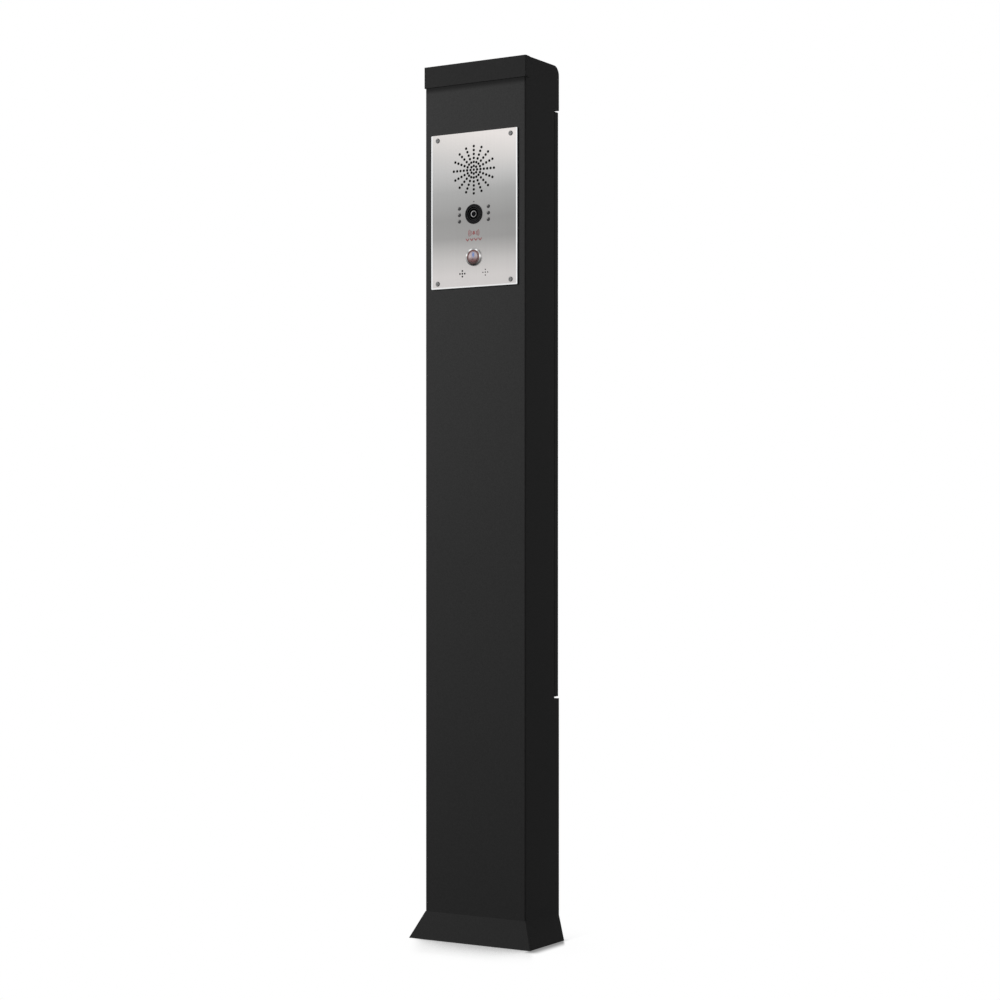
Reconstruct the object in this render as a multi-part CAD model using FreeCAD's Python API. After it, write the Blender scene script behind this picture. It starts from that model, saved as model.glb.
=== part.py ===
import FreeCAD, Part
import math
import os

# Free-standing gate intercom post, in millimetres.
# +Z is up and the front faces -Y. The origin lies on the ground, in the middle of the footprint.

# Pillar
HEIGHT = 1500.0
BODY_WIDTH = 200.0
BODY_DEPTH = 114.0
BODY_SHEET = 2.0
BEND_RADIUS = 2.5
RETURN_WIDTH = 14.0

# Hood over the top, its front lip and the panel that it turns down behind
HOOD_SHEET = 1.5
HOOD_LIP_HEIGHT = 36.0
HOOD_LIP_RETURN = 12.0
HOOD_CLEARANCE = 0.2
HOOD_REAR_RADIUS = 16.0
HOOD_REAR_HEIGHT = 75.75
HEM_DEPTH = 10.0

# Flared foot
FLARE_HEIGHT = 45.0
FLARE_SIDE = 21.0
FLARE_FRONT = 20.0
FLARE_SETBACK = 18.75
SKIRT_SHEET = 1.5

# Service door in the back, and the frame that it shuts on
DOOR_BOTTOM = 416.25
DOOR_SLIT = 3.5
DOOR_RECESS = 2.0
DOOR_FLANGE = 13.0
DOOR_SHEET = 1.5
SEAM_GAP = 1.0
FRAME_SHEET = 1.5
FRAME_WIDTH = 14.0
FRAME_LIP = 6.0
FRAME_OVERLAP = 8.0
SEAL_WIDTH = 8.0
SEAL_CLEARANCE = 0.3

# Lower rear cover and its countersunk screws
COVER_SHEET = 2.0
COVER_GROUND_GAP = 3.0
COVER_SCREW_RADIUS = 2.0
COVER_SCREW_HEAD_RADIUS = 3.8
COVER_SCREW_LENGTH = 10.0
COVER_SCREW_END = 40.0

# Base plate, anchor holes and cable entry
BASE_THICKNESS = 5.0
ANCHOR_SPACING_X = 140.0
ANCHOR_SPACING_Y = 70.0
ANCHOR_HOLE_RADIUS = 7.0
ENTRY_RADIUS = 25.0
GROMMET_WALL = 3.0
GROMMET_LIP = 4.0
GROMMET_LIP_HEIGHT = 3.0

# Hinges
HINGE_LENGTH = 60.0
HINGE_KNUCKLE_RADIUS = 4.0
HINGE_LEAF = 2.0
HINGE_BODY_LEAF_DEPTH = 22.0
HINGE_DOOR_LEAF_DEPTH = 12.0
HINGE_PIN_RADIUS = 2.0
HINGE_PIN_CLEARANCE = 0.08
HINGE_PIN_HEAD_RADIUS = 3.0
HINGE_PIN_HEAD_HEIGHT = 1.5
HINGE_END_OFFSET = 120.0

# Quarter-turn locks
LOCK_END_OFFSET = 200.0
LOCK_HEAD_RADIUS = 13.0
LOCK_HEAD_HEIGHT = 1.6
LOCK_BARREL_RADIUS = 10.0
LOCK_BARREL_LENGTH = 14.0
LOCK_NUT_RADIUS = 14.0
LOCK_NUT_HEIGHT = 4.0
LOCK_CORE_RADIUS = 6.0
LOCK_COLLAR_RADIUS = 7.0
LOCK_COLLAR_HEIGHT = 1.4
LOCK_DRIVE_WIDTH = 7.0
LOCK_DRIVE_DEPTH = 5.0
CAM_THICKNESS = 3.0
CAM_HALF_WIDTH = 7.0
CAM_OVERLAP = 7.0
CAM_SQUARE = 8.0

# Tamper contact on the frame, and its magnet on the door
REED_LENGTH = 36.0
REED_HEIGHT = 10.0
REED_X = 20.0
MAGNET_THICKNESS = 5.5
MAGNET_DROP = 5.0

# Intercom panel
PLATE_DROP = 120.25
PLATE_WIDTH = 172.0
PLATE_SHEET = 2.0
PLATE_CORNER_RADIUS = 1.5
PLATE_LAP_SIDE = 8.0
PLATE_LAP_END = 4.0
GASKET_THICKNESS = 1.0
CUTOUT_CORNER_RADIUS = 3.0
PLATE_SCREW_RADIUS = 2.0
PLATE_SCREW_HEAD_RADIUS = 3.8
PLATE_SCREW_HEAD_HEIGHT = 2.2
PLATE_SCREW_SHOULDER_RADIUS = 3.2
PLATE_SCREW_SHOULDER_DROP = 0.6
PLATE_SCREW_LENGTH = 14.0
PLATE_SCREW_SOCKET = 2.5
PLATE_SCREW_SOCKET_DEPTH = 1.3
PLATE_SCREW_PIN_RADIUS = 0.6

# Gaps between the fittings on the plate, from its top edge down
SPEAKER_MARGIN = 18.5
CAMERA_GAP = 12.25
SENSOR_GAP = 1.3
SIGN_GAP = 11.75
CHEVRON_GAP = 4.6
BUTTON_GAP = 41.4
MIC_GAP = 12.1
MIC_MARGIN = 23.75

# Back box behind the panel, and the posts in its corners
BOX_SHEET = 1.5
BOX_FLANGE = 8.0
POST_RADIUS = 4.0
POST_GAP = 1.0

# Speaker: five rings of sixteen holes, one of eight and a centre hole
GRILLE_RINGS = 6
GRILLE_SPOKES = 16
GRILLE_HOLE_RADIUS = 1.8
SPEAKER_HALF_WIDTH = 46.0
SPEAKER_CORNER_RADIUS = 10.0
SPEAKER_FLANGE = 1.5
SPEAKER_RIM = 4.0
SPEAKER_THROAT_RADIUS = 16.0
SPEAKER_DEPTH = 20.0
SPEAKER_MAGNET_RADIUS = 22.0
SPEAKER_MAGNET_HEIGHT = 12.0
SPEAKER_STUD_INSET = 7.0
SPEAKER_STUD_RADIUS = 1.5
SPEAKER_STUD_LENGTH = 9.0
SPEAKER_NUT_RADIUS = 3.2
SPEAKER_NUT_HEIGHT = 2.4
CONE_PAPER = 0.8
CONE_DOME_RISE = 5.0
CLOTH_THICKNESS = 0.6
CLOTH_LAP = 2.0

# Camera
CAMERA_BEZEL_RADIUS = 17.0
CAMERA_BEZEL_HEIGHT = 1.6
CAMERA_BEZEL_LAP = 3.0
CAMERA_BARREL_LENGTH = 20.0
CAMERA_RIM_WIDTH = 5.0
CAMERA_RECESS_DEPTH = 1.2
CAMERA_RING_RADIUS = 6.3
CAMERA_RING_WIDTH = 2.0
CAMERA_RING_SETBACK = 0.8
CAMERA_RING_HEIGHT = 4.0
CAMERA_LENS_RISE = 1.2
CAMERA_NUT_WALL = 3.2
CAMERA_NUT_HEIGHT = 4.0
CAMERA_MODULE_WIDTH = 34.0
CAMERA_MODULE_DEPTH = 17.0

# Infrared lamps beside the camera
LAMP_GAP = 12.0
LAMP_PITCH = 11.0
LAMP_COUNT = 3
LAMP_RADIUS = 3.2
LAMP_RISE = 1.4
LAMP_RIM = 0.6
LAMP_LENGTH = 6.0
LAMP_BOARD_WIDTH = 12.0
LAMP_BOARD_MARGIN = 7.0

# Light sensor above the camera
SENSOR_HOLE_RADIUS = 1.1
SENSOR_WIDTH = 5.0
SENSOR_DEPTH = 4.0

# Call sign above the button: a bell with sound arcs, and a row of chevrons
SIGN_THICKNESS = 0.2
BELL_HEIGHT = 7.0
BELL_CROWN_WIDTH = 1.5
BELL_SHOULDER_WIDTH = 3.6
BELL_SHOULDER_DROP = 1.0
BELL_WAIST_WIDTH = 4.4
BELL_WAIST_DROP = 3.2
BELL_RIM_WIDTH = 5.9
BELL_RIM_HEIGHT = 0.6
CLAPPER_RADIUS = 0.8
CLAPPER_SHOWN = 1.4
ARC_COUNT = 3
ARC_RADIUS = 6.0
ARC_PITCH = 2.5
ARC_STROKE = 1.0
ARC_HALF_ANGLE = 32.0
CHEVRON_COUNT = 4
CHEVRON_PITCH = 8.4
CHEVRON_WIDTH = 6.4
CHEVRON_HEIGHT = 3.2
CHEVRON_STROKE = 2.6

# Call button
BUTTON_BEZEL_RADIUS = 15.0
BUTTON_BEZEL_HEIGHT = 3.0
BUTTON_BEZEL_ROUND = 1.2
BUTTON_BEZEL_LAP = 2.5
BUTTON_BARREL_LENGTH = 24.0
BUTTON_RIM_WIDTH = 3.0
BUTTON_RING_WIDTH = 2.6
BUTTON_RING_HEIGHT = 1.4
BUTTON_CAP_HEIGHT = 4.0
BUTTON_CAP_DISH = 0.5
BUTTON_STEM_RADIUS = 5.0
BUTTON_TRAVEL = 2.0
BUTTON_CLEARANCE = 0.3
BUTTON_NUT_RADIUS = 16.0
BUTTON_NUT_HEIGHT = 4.0
SWITCH_LENGTH = 12.0
SWITCH_TAB_LENGTH = 5.0
SWITCH_TAB_WIDTH = 3.0
SWITCH_TAB_SHEET = 0.8

# Microphones, each behind a cross of five holes
MIC_X = 23.0
MIC_HOLE_RADIUS = 1.1
MIC_HOLE_SPACING = 4.8
MIC_BOOT_RADIUS = 7.5
MIC_BOOT_DEPTH = 7.0

# Main board in the back box, its terminal block and the gland below
BOARD_SIDE_GAP = 16.0
BOARD_END_GAP = 18.0
BOARD_FRONT_GAP = 5.4
BOARD_THICKNESS = 1.6
BOARD_STANDOFF = 7.0
BOARD_HOLE_INSET = 6.0
STANDOFF_RADIUS = 3.0
BLOCK_WIDTH = 64.0
BLOCK_HEIGHT = 11.0
BLOCK_DEPTH = 12.0
BLOCK_WAYS = 8
BLOCK_GAP = 2.4
GLAND_RADIUS = 8.0
GLAND_HEX_RADIUS = 12.0
GLAND_HEX_HEIGHT = 12.0
GLAND_DOME_HEIGHT = 8.0
GLAND_DOME_SHOULDER = 1.0
GLAND_NUT_HEIGHT = 5.0
GLAND_THREAD_SHOWN = 1.0
GLAND_BORE_RADIUS = 5.0
GLAND_DOME_WALL = 2.0

# Lower bay: mounting rail, power supply, terminal strip and earth stud
RAIL_Z = 760.0
RAIL_END_GAP = 18.0
RAIL_HEIGHT = 35.0
RAIL_DEPTH = 7.5
RAIL_SHEET = 1.0
RAIL_CHANNEL = 25.0
SUPPLY_WIDTH = 54.0
SUPPLY_HEIGHT = 90.0
SUPPLY_DEPTH = 50.0
SUPPLY_X = -46.0
SUPPLY_CHAMFER = 6.0
SUPPLY_VENTS = 7
SUPPLY_VENT_DEPTH = 2.0
SUPPLY_LABEL_DEPTH = 0.5
TERMINAL_COUNT = 8
TERMINAL_WIDTH = 6.2
TERMINAL_HEIGHT = 46.0
TERMINAL_DEPTH = 34.0
TERMINAL_X = 14.0
EARTH_X = 62.0
EARTH_Z = 520.0
EARTH_STUD_RADIUS = 3.0
EARTH_STUD_LENGTH = 20.0
EARTH_NUT_RADIUS = 5.6
EARTH_NUT_HEIGHT = 5.0
EARTH_WASHER_RADIUS = 8.0
EARTH_WASHER_HEIGHT = 1.6

# Fits
THREAD_CLEARANCE = 0.05
HOLE_CLEARANCE = 0.2
RUNNING_CLEARANCE = 0.3

# Planes and places worked out from the sizes above
HALF_WIDTH = BODY_WIDTH / 2
INSIDE_X = HALF_WIDTH - BODY_SHEET
FRONT_Y = (FLARE_FRONT - BODY_DEPTH) / 2
INSIDE_Y = FRONT_Y + BODY_SHEET
REAR_Y = FRONT_Y + BODY_DEPTH
BODY_TOP = HEIGHT - HOOD_SHEET
HOOD_REAR_INSIDE = REAR_Y - HOOD_SHEET
HOOD_REAR_BOTTOM = HEIGHT - HOOD_REAR_HEIGHT
COVER_INSIDE = REAR_Y - COVER_SHEET
COVER_TOP = DOOR_BOTTOM - DOOR_SLIT
DOOR_TOP = HOOD_REAR_BOTTOM - DOOR_SLIT
DOOR_FACE_Y = REAR_Y - DOOR_RECESS
DOOR_INSIDE_Y = DOOR_FACE_Y - DOOR_SHEET
DOOR_EDGE_Y = DOOR_FACE_Y - DOOR_FLANGE
SEAM_Y = DOOR_EDGE_Y - SEAM_GAP
FRAME_OPEN_X = INSIDE_X - FRAME_WIDTH
FRAME_OPEN_BOTTOM = DOOR_BOTTOM + FRAME_WIDTH
FRAME_OPEN_TOP = DOOR_TOP - FRAME_WIDTH
FRAME_BOTTOM = COVER_TOP - FRAME_OVERLAP
FRAME_TOP = HOOD_REAR_BOTTOM + FRAME_OVERLAP
FRAME_LIP_Y = SEAM_Y + FRAME_LIP
SEAL_REACH = (SEAL_WIDTH - FRAME_SHEET) / 2
PLATE_BACK_Y = FRONT_Y - GASKET_THICKNESS
PLATE_FACE_Y = PLATE_BACK_Y - PLATE_SHEET
HINGE_X = -(HALF_WIDTH + HINGE_KNUCKLE_RADIUS + RUNNING_CLEARANCE)
HINGE_Y = SEAM_Y + SEAM_GAP / 2
LOCK_X = FRAME_OPEN_X - SEAL_REACH - LOCK_NUT_RADIUS - 2 * RUNNING_CLEARANCE
CAM_FACE_Y = SEAM_Y - FRAME_SHEET - RUNNING_CLEARANCE
ANCHOR_Y = (INSIDE_Y + COVER_INSIDE - BODY_SHEET) / 2
RAIL_FACE_Y = INSIDE_Y + RAIL_DEPTH
RAIL_LENGTH = 2 * (INSIDE_X - RAIL_END_GAP)

# Heights on the panel, from the top edge of its plate down
CAMERA_BARREL_RADIUS = CAMERA_BEZEL_RADIUS - CAMERA_BEZEL_LAP
PLATE_TOP = HEIGHT - PLATE_DROP
SPEAKER_Z = PLATE_TOP - SPEAKER_MARGIN - SPEAKER_HALF_WIDTH
CAMERA_Z = SPEAKER_Z - SPEAKER_HALF_WIDTH - CAMERA_GAP - CAMERA_BEZEL_RADIUS
SENSOR_Z = CAMERA_Z + CAMERA_BARREL_RADIUS + CAMERA_NUT_WALL + SENSOR_GAP + SENSOR_WIDTH / 2
BELL_Z = CAMERA_Z - CAMERA_BEZEL_RADIUS - SIGN_GAP - BELL_HEIGHT / 2
CHEVRON_TOP = BELL_Z - BELL_HEIGHT / 2 - CHEVRON_GAP
BUTTON_Z = CAMERA_Z - CAMERA_BEZEL_RADIUS - BUTTON_GAP - BUTTON_BEZEL_RADIUS
MIC_Z = BUTTON_Z - BUTTON_BEZEL_RADIUS - MIC_GAP
PLATE_BOTTOM = MIC_Z - MIC_MARGIN
PLATE_HEIGHT = PLATE_TOP - PLATE_BOTTOM
PANEL_Z = (PLATE_TOP + PLATE_BOTTOM) / 2

# Sizes on the panel that follow from others
CUTOUT_WIDTH = PLATE_WIDTH - 2 * PLATE_LAP_SIDE
CUTOUT_HEIGHT = PLATE_HEIGHT - 2 * PLATE_LAP_END
SCREW_SPACING_X = CUTOUT_WIDTH - 2 * (POST_RADIUS + POST_GAP)
SCREW_SPACING_Z = CUTOUT_HEIGHT - 2 * (POST_RADIUS + POST_GAP)
SPEAKER_MOUTH_RADIUS = SPEAKER_HALF_WIDTH - SPEAKER_RIM
SPEAKER_STUD_OFFSET = SPEAKER_HALF_WIDTH - SPEAKER_STUD_INSET
GRILLE_PITCH = (SPEAKER_MOUTH_RADIUS - GRILLE_HOLE_RADIUS) / GRILLE_RINGS
CLOTH_RADIUS = SPEAKER_MOUTH_RADIUS + CLOTH_LAP
CLOTH_BACK_Y = PLATE_BACK_Y + CLOTH_THICKNESS
CAMERA_RECESS_RADIUS = CAMERA_BEZEL_RADIUS - CAMERA_RIM_WIDTH
LAMP_X = CAMERA_BEZEL_RADIUS + LAMP_GAP
BUTTON_BARREL_RADIUS = BUTTON_BEZEL_RADIUS - BUTTON_BEZEL_LAP
BUTTON_RING_RADIUS = BUTTON_BEZEL_RADIUS - BUTTON_RIM_WIDTH - THREAD_CLEARANCE
BUTTON_CAP_RADIUS = BUTTON_RING_RADIUS - BUTTON_RING_WIDTH - BUTTON_CLEARANCE
SWITCH_FRONT_Y = PLATE_FACE_Y + BUTTON_BARREL_LENGTH
SWITCH_BACK_Y = SWITCH_FRONT_Y + SWITCH_LENGTH
BOARD_WIDTH = CUTOUT_WIDTH - 2 * BOARD_SIDE_GAP
BOARD_HEIGHT = CUTOUT_HEIGHT - 2 * BOARD_END_GAP
BOARD_FACE_Y = SWITCH_BACK_Y + SWITCH_TAB_LENGTH + BOARD_FRONT_GAP
BOARD_Y = BOARD_FACE_Y + BOARD_THICKNESS
BOX_FLOOR_Y = BOARD_Y + BOARD_STANDOFF
GLAND_Y = (INSIDE_Y + BOX_FLOOR_Y) / 2


def vector(x, y, z):
    return FreeCAD.Vector(x, y, z)


def box(x0, x1, y0, y1, z0, z1):
    """A block between two corners."""
    return Part.makeBox(x1 - x0, y1 - y0, z1 - z0, vector(x0, y0, z0))


def rod_y(radius, y0, y1, x, z):
    """A cylinder along Y, from y0 to y1."""
    return Part.makeCylinder(radius, y1 - y0, vector(x, y0, z), vector(0, 1, 0))


def rod_z(radius, z0, z1, x, y):
    """A cylinder along Z, from z0 to z1."""
    return Part.makeCylinder(radius, z1 - z0, vector(x, y, z0), vector(0, 0, 1))


def prism(points, travel):
    """A solid swept from a flat outline along a vector."""
    wire = Part.makePolygon(points + [points[0]])
    return Part.Face(wire).extrude(travel)


def prism_y(outline, y0, y1):
    """A solid from an outline of (x, z) points, between two Y planes."""
    points = [vector(x, y0, z) for x, z in outline]
    return prism(points, vector(0, y1 - y0, 0))


def hexagon_y(radius, y0, y1, x, z):
    """A hexagonal bar along Y, measured to its flats."""
    corner = radius / math.cos(math.radians(30))
    angles = [math.radians(60 * step) for step in range(6)]
    outline = [(x + corner * math.cos(a), z + corner * math.sin(a)) for a in angles]
    return prism_y(outline, y0, y1)


def rounded_plate(width, height, radius, y0, y1, x, z):
    """A plate across Y with four round corners."""
    plate = box(x - width / 2, x + width / 2, y0, y1, z - height / 2, z + height / 2)
    corners = [edge for edge in plate.Edges if abs(edge.tangentAt(edge.FirstParameter).y) > 0.9]
    return plate.makeFillet(radius, corners)


def turned(outline, x, z):
    """A solid turned about an axis along Y, from (radius, y) points.

    A step of two points is an arc: through the first, to the second.
    """
    edges = []
    here = outline[0]
    for step in outline[1:] + [outline[0]]:
        is_arc = isinstance(step[0], tuple)
        there = step[1] if is_arc else step
        start = vector(here[0], here[1], 0)
        end = vector(there[0], there[1], 0)
        if is_arc:
            middle = vector(step[0][0], step[0][1], 0)
            edges.append(Part.Arc(start, middle, end).toShape())
        elif start.distanceToPoint(end) > 0:
            edges.append(Part.LineSegment(start, end).toShape())
        here = there
    face = Part.Face(Part.Wire(edges))
    solid = face.revolve(vector(0, 0, 0), vector(0, 1, 0), 360)
    solid.translate(vector(x, 0, z))
    return solid


def group(shapes):
    """Several loose solids that share one node."""
    return Part.makeCompound(shapes)


def fused(shapes):
    """One solid from solids that meet."""
    return shapes[0].fuse(shapes[1:]).removeSplitter()


def corners_of_pattern(spacing_x, spacing_z, z):
    """The four corners of a rectangle about X = 0, as (x, z)."""
    return [(sx * spacing_x / 2, z + sz * spacing_z / 2) for sx in (-1, 1) for sz in (-1, 1)]


def body_shell():
    """Front and sides folded from one sheet, notched behind for the door."""
    edge_radius = HOOD_REAR_RADIUS - HOOD_SHEET
    outer = box(-HALF_WIDTH, HALF_WIDTH, FRONT_Y, REAR_Y, 0, BODY_TOP)
    upright = [
        edge
        for edge in outer.Edges
        if abs(edge.tangentAt(edge.FirstParameter).z) > 0.9 and edge.CenterOfMass.y < 0
    ]
    outer = outer.makeFillet(BEND_RADIUS, upright)
    inner = box(-INSIDE_X, INSIDE_X, INSIDE_Y, REAR_Y, 0, BODY_TOP)
    shell = outer.cut(inner)
    side = box(-HALF_WIDTH, HALF_WIDTH, FRONT_Y, HOOD_REAR_INSIDE, 0, BODY_TOP)
    top_rear = [
        edge
        for edge in side.Edges
        if abs(edge.tangentAt(edge.FirstParameter).x) > 0.9
        and edge.CenterOfMass.y > 0
        and edge.CenterOfMass.z > HEIGHT / 2
    ]
    side = side.makeFillet(edge_radius, top_rear)
    side = side.cut(box(-HALF_WIDTH, HALF_WIDTH, SEAM_Y, REAR_Y, COVER_TOP, HOOD_REAR_BOTTOM))
    side = side.cut(box(-HALF_WIDTH, HALF_WIDTH, COVER_INSIDE, REAR_Y, 0, COVER_TOP))
    shell = shell.common(side)
    returns = []
    for sign in (-1, 1):
        x0, x1 = sorted((sign * INSIDE_X, sign * (INSIDE_X - RETURN_WIDTH)))
        low = box(x0, x1, COVER_INSIDE - BODY_SHEET, COVER_INSIDE, 0, COVER_TOP)
        high = box(
            x0, x1, HOOD_REAR_INSIDE - BODY_SHEET, HOOD_REAR_INSIDE,
            HOOD_REAR_BOTTOM, BODY_TOP - HOOD_REAR_RADIUS,
        )
        returns += [low, high]
    shell = fused([shell] + returns)
    cutout = rounded_plate(
        CUTOUT_WIDTH, CUTOUT_HEIGHT, CUTOUT_CORNER_RADIUS, FRONT_Y, INSIDE_Y, 0, PANEL_Z
    )
    shell = shell.cut(cutout)
    for x, z in cover_screw_places():
        hole = rod_y(COVER_SCREW_RADIUS + THREAD_CLEARANCE, COVER_INSIDE - BODY_SHEET, COVER_INSIDE, x, z)
        shell = shell.cut(hole)
    return shell


def hood():
    """Front lip, top, rounded rear bend and upper rear panel, folded from one sheet."""
    outer = box(-HALF_WIDTH, HALF_WIDTH, FRONT_Y, REAR_Y, HOOD_REAR_BOTTOM, HEIGHT)
    inner = box(-HALF_WIDTH, HALF_WIDTH, FRONT_Y, HOOD_REAR_INSIDE, HOOD_REAR_BOTTOM, BODY_TOP)
    bends = []
    for shape, radius in ((outer, HOOD_REAR_RADIUS), (inner, HOOD_REAR_RADIUS - HOOD_SHEET)):
        edges = [
            edge
            for edge in shape.Edges
            if abs(edge.tangentAt(edge.FirstParameter).x) > 0.9
            and edge.CenterOfMass.y > 0
            and edge.CenterOfMass.z > BODY_TOP - HOOD_SHEET
        ]
        bends.append(shape.makeFillet(radius, edges))
    strip = bends[0].cut(bends[1])
    lip_x = HALF_WIDTH + HOOD_CLEARANCE + HOOD_SHEET
    lip_y = FRONT_Y - HOOD_CLEARANCE - HOOD_SHEET
    lip_bottom = HEIGHT - HOOD_LIP_HEIGHT
    lip = box(-lip_x, lip_x, lip_y, FRONT_Y + HOOD_LIP_RETURN, lip_bottom, HEIGHT)
    upright = [
        edge
        for edge in lip.Edges
        if abs(edge.tangentAt(edge.FirstParameter).z) > 0.9 and edge.CenterOfMass.y < FRONT_Y
    ]
    lip = lip.makeFillet(HOOD_SHEET, upright)
    under_x = HALF_WIDTH + HOOD_CLEARANCE
    under = box(
        -under_x, under_x, FRONT_Y - HOOD_CLEARANCE, FRONT_Y + HOOD_LIP_RETURN, lip_bottom, BODY_TOP
    )
    hem = box(
        -(INSIDE_X - RETURN_WIDTH), INSIDE_X - RETURN_WIDTH,
        HOOD_REAR_INSIDE - HEM_DEPTH, HOOD_REAR_INSIDE,
        HOOD_REAR_BOTTOM, HOOD_REAR_BOTTOM + HOOD_SHEET,
    )
    return fused([strip, lip.cut(under), hem])


def cover_screw_places():
    """Where the lower rear cover is screwed to the returns, as (x, z)."""
    x = INSIDE_X - RETURN_WIDTH / 2
    heights = (COVER_SCREW_END, COVER_TOP - COVER_SCREW_END)
    return [(sign * x, z) for sign in (-1, 1) for z in heights]


def lower_rear_cover():
    """Flat panel behind the anchors, with a hem along its top."""
    panel = box(-HALF_WIDTH, HALF_WIDTH, COVER_INSIDE, REAR_Y, COVER_GROUND_GAP, COVER_TOP)
    hem_x = INSIDE_X - RETURN_WIDTH
    hem = box(
        -hem_x, hem_x, COVER_INSIDE - HEM_DEPTH, COVER_INSIDE, COVER_TOP - COVER_SHEET, COVER_TOP
    )
    cover = fused([panel, hem])
    for x, z in cover_screw_places():
        sink = turned(
            [
                (0, COVER_INSIDE),
                (COVER_SCREW_RADIUS + HOLE_CLEARANCE, COVER_INSIDE),
                (COVER_SCREW_HEAD_RADIUS + HOLE_CLEARANCE, REAR_Y),
                (0, REAR_Y),
            ],
            x, z,
        )
        cover = cover.cut(sink)
    return cover


def cover_screws():
    """Four countersunk screws with a cross of two slots."""
    screws = []
    slot = COVER_SCREW_RADIUS / 2
    for x, z in cover_screw_places():
        screw = turned(
            [
                (0, REAR_Y - COVER_SCREW_LENGTH),
                (COVER_SCREW_RADIUS, REAR_Y - COVER_SCREW_LENGTH),
                (COVER_SCREW_RADIUS, COVER_INSIDE),
                (COVER_SCREW_HEAD_RADIUS, REAR_Y),
                (0, REAR_Y),
            ],
            x, z,
        )
        reach = COVER_SCREW_RADIUS * 1.2
        for dx, dz in ((reach, slot / 2), (slot / 2, reach)):
            screw = screw.cut(box(x - dx, x + dx, REAR_Y - slot, REAR_Y, z - dz, z + dz))
        screws.append(screw)
    return group(screws)


def flare_block(inset_side, inset_front, inset_rear):
    """The solid wedge inside the flare, brought in at the sides, front and rear."""
    foot_x = HALF_WIDTH + FLARE_SIDE - inset_side
    head_x = HALF_WIDTH - inset_side
    foot_front = FRONT_Y - FLARE_FRONT + inset_front
    head_front = FRONT_Y + inset_front
    foot_rear = REAR_Y - FLARE_SETBACK - inset_rear
    head_rear = COVER_INSIDE - inset_rear
    foot = Part.makePolygon(
        [
            vector(-foot_x, foot_front, 0),
            vector(foot_x, foot_front, 0),
            vector(foot_x, foot_rear, 0),
            vector(-foot_x, foot_rear, 0),
            vector(-foot_x, foot_front, 0),
        ]
    )
    head = Part.makePolygon(
        [
            vector(-head_x, head_front, FLARE_HEIGHT),
            vector(head_x, head_front, FLARE_HEIGHT),
            vector(head_x, head_rear, FLARE_HEIGHT),
            vector(-head_x, head_rear, FLARE_HEIGHT),
            vector(-head_x, head_front, FLARE_HEIGHT),
        ]
    )
    return Part.makeLoft([foot, head], True, True)


def base_skirt():
    """Flared skirt round the front and sides, closed behind by its returns."""
    side_wall = SKIRT_SHEET * math.hypot(1, FLARE_SIDE / FLARE_HEIGHT)
    front_wall = SKIRT_SHEET * math.hypot(1, FLARE_FRONT / FLARE_HEIGHT)
    skirt = flare_block(0, 0, 0).cut(flare_block(side_wall, front_wall, SKIRT_SHEET))
    return skirt.cut(box(-HALF_WIDTH, HALF_WIDTH, FRONT_Y, REAR_Y, 0, FLARE_HEIGHT))


def anchor_places():
    """Centres of the four anchor holes, as (x, y)."""
    xs = (-ANCHOR_SPACING_X / 2, ANCHOR_SPACING_X / 2)
    ys = (ANCHOR_Y - ANCHOR_SPACING_Y / 2, ANCHOR_Y + ANCHOR_SPACING_Y / 2)
    return [(x, y) for x in xs for y in ys]


def base_plate():
    """Plate welded inside the foot, with anchor holes and a cable entry."""
    plate = box(-INSIDE_X, INSIDE_X, INSIDE_Y, COVER_INSIDE - BODY_SHEET, 0, BASE_THICKNESS)
    for x, y in anchor_places():
        plate = plate.cut(rod_z(ANCHOR_HOLE_RADIUS, 0, BASE_THICKNESS, x, y))
    return plate.cut(rod_z(ENTRY_RADIUS, 0, BASE_THICKNESS, 0, ANCHOR_Y))


def cable_grommet():
    """Rubber ring that lines the cable entry and laps onto the base plate."""
    top = BASE_THICKNESS + GROMMET_LIP_HEIGHT
    sleeve = rod_z(ENTRY_RADIUS, 0, BASE_THICKNESS, 0, ANCHOR_Y)
    lap = rod_z(ENTRY_RADIUS + GROMMET_LIP, BASE_THICKNESS, top, 0, ANCHOR_Y)
    bore = rod_z(ENTRY_RADIUS - GROMMET_WALL, 0, top, 0, ANCHOR_Y)
    return fused([sleeve, lap]).cut(bore)


def door_frame():
    """Frame welded in the door opening, with a rain lip that meets the seal."""
    flange = box(-INSIDE_X, INSIDE_X, SEAM_Y - FRAME_SHEET, SEAM_Y, FRAME_BOTTOM, FRAME_TOP)
    lip_x = FRAME_OPEN_X + FRAME_SHEET
    lip = box(
        -lip_x, lip_x, SEAM_Y - FRAME_SHEET, FRAME_LIP_Y,
        FRAME_OPEN_BOTTOM - FRAME_SHEET, FRAME_OPEN_TOP + FRAME_SHEET,
    )
    opening = box(
        -FRAME_OPEN_X, FRAME_OPEN_X, SEAM_Y - FRAME_SHEET, FRAME_LIP_Y, FRAME_OPEN_BOTTOM, FRAME_OPEN_TOP
    )
    return fused([flange, lip]).cut(opening)


def lock_places():
    """Heights of the two locks, by name."""
    return {"bottom": DOOR_BOTTOM + LOCK_END_OFFSET, "top": DOOR_TOP - LOCK_END_OFFSET}


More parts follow.
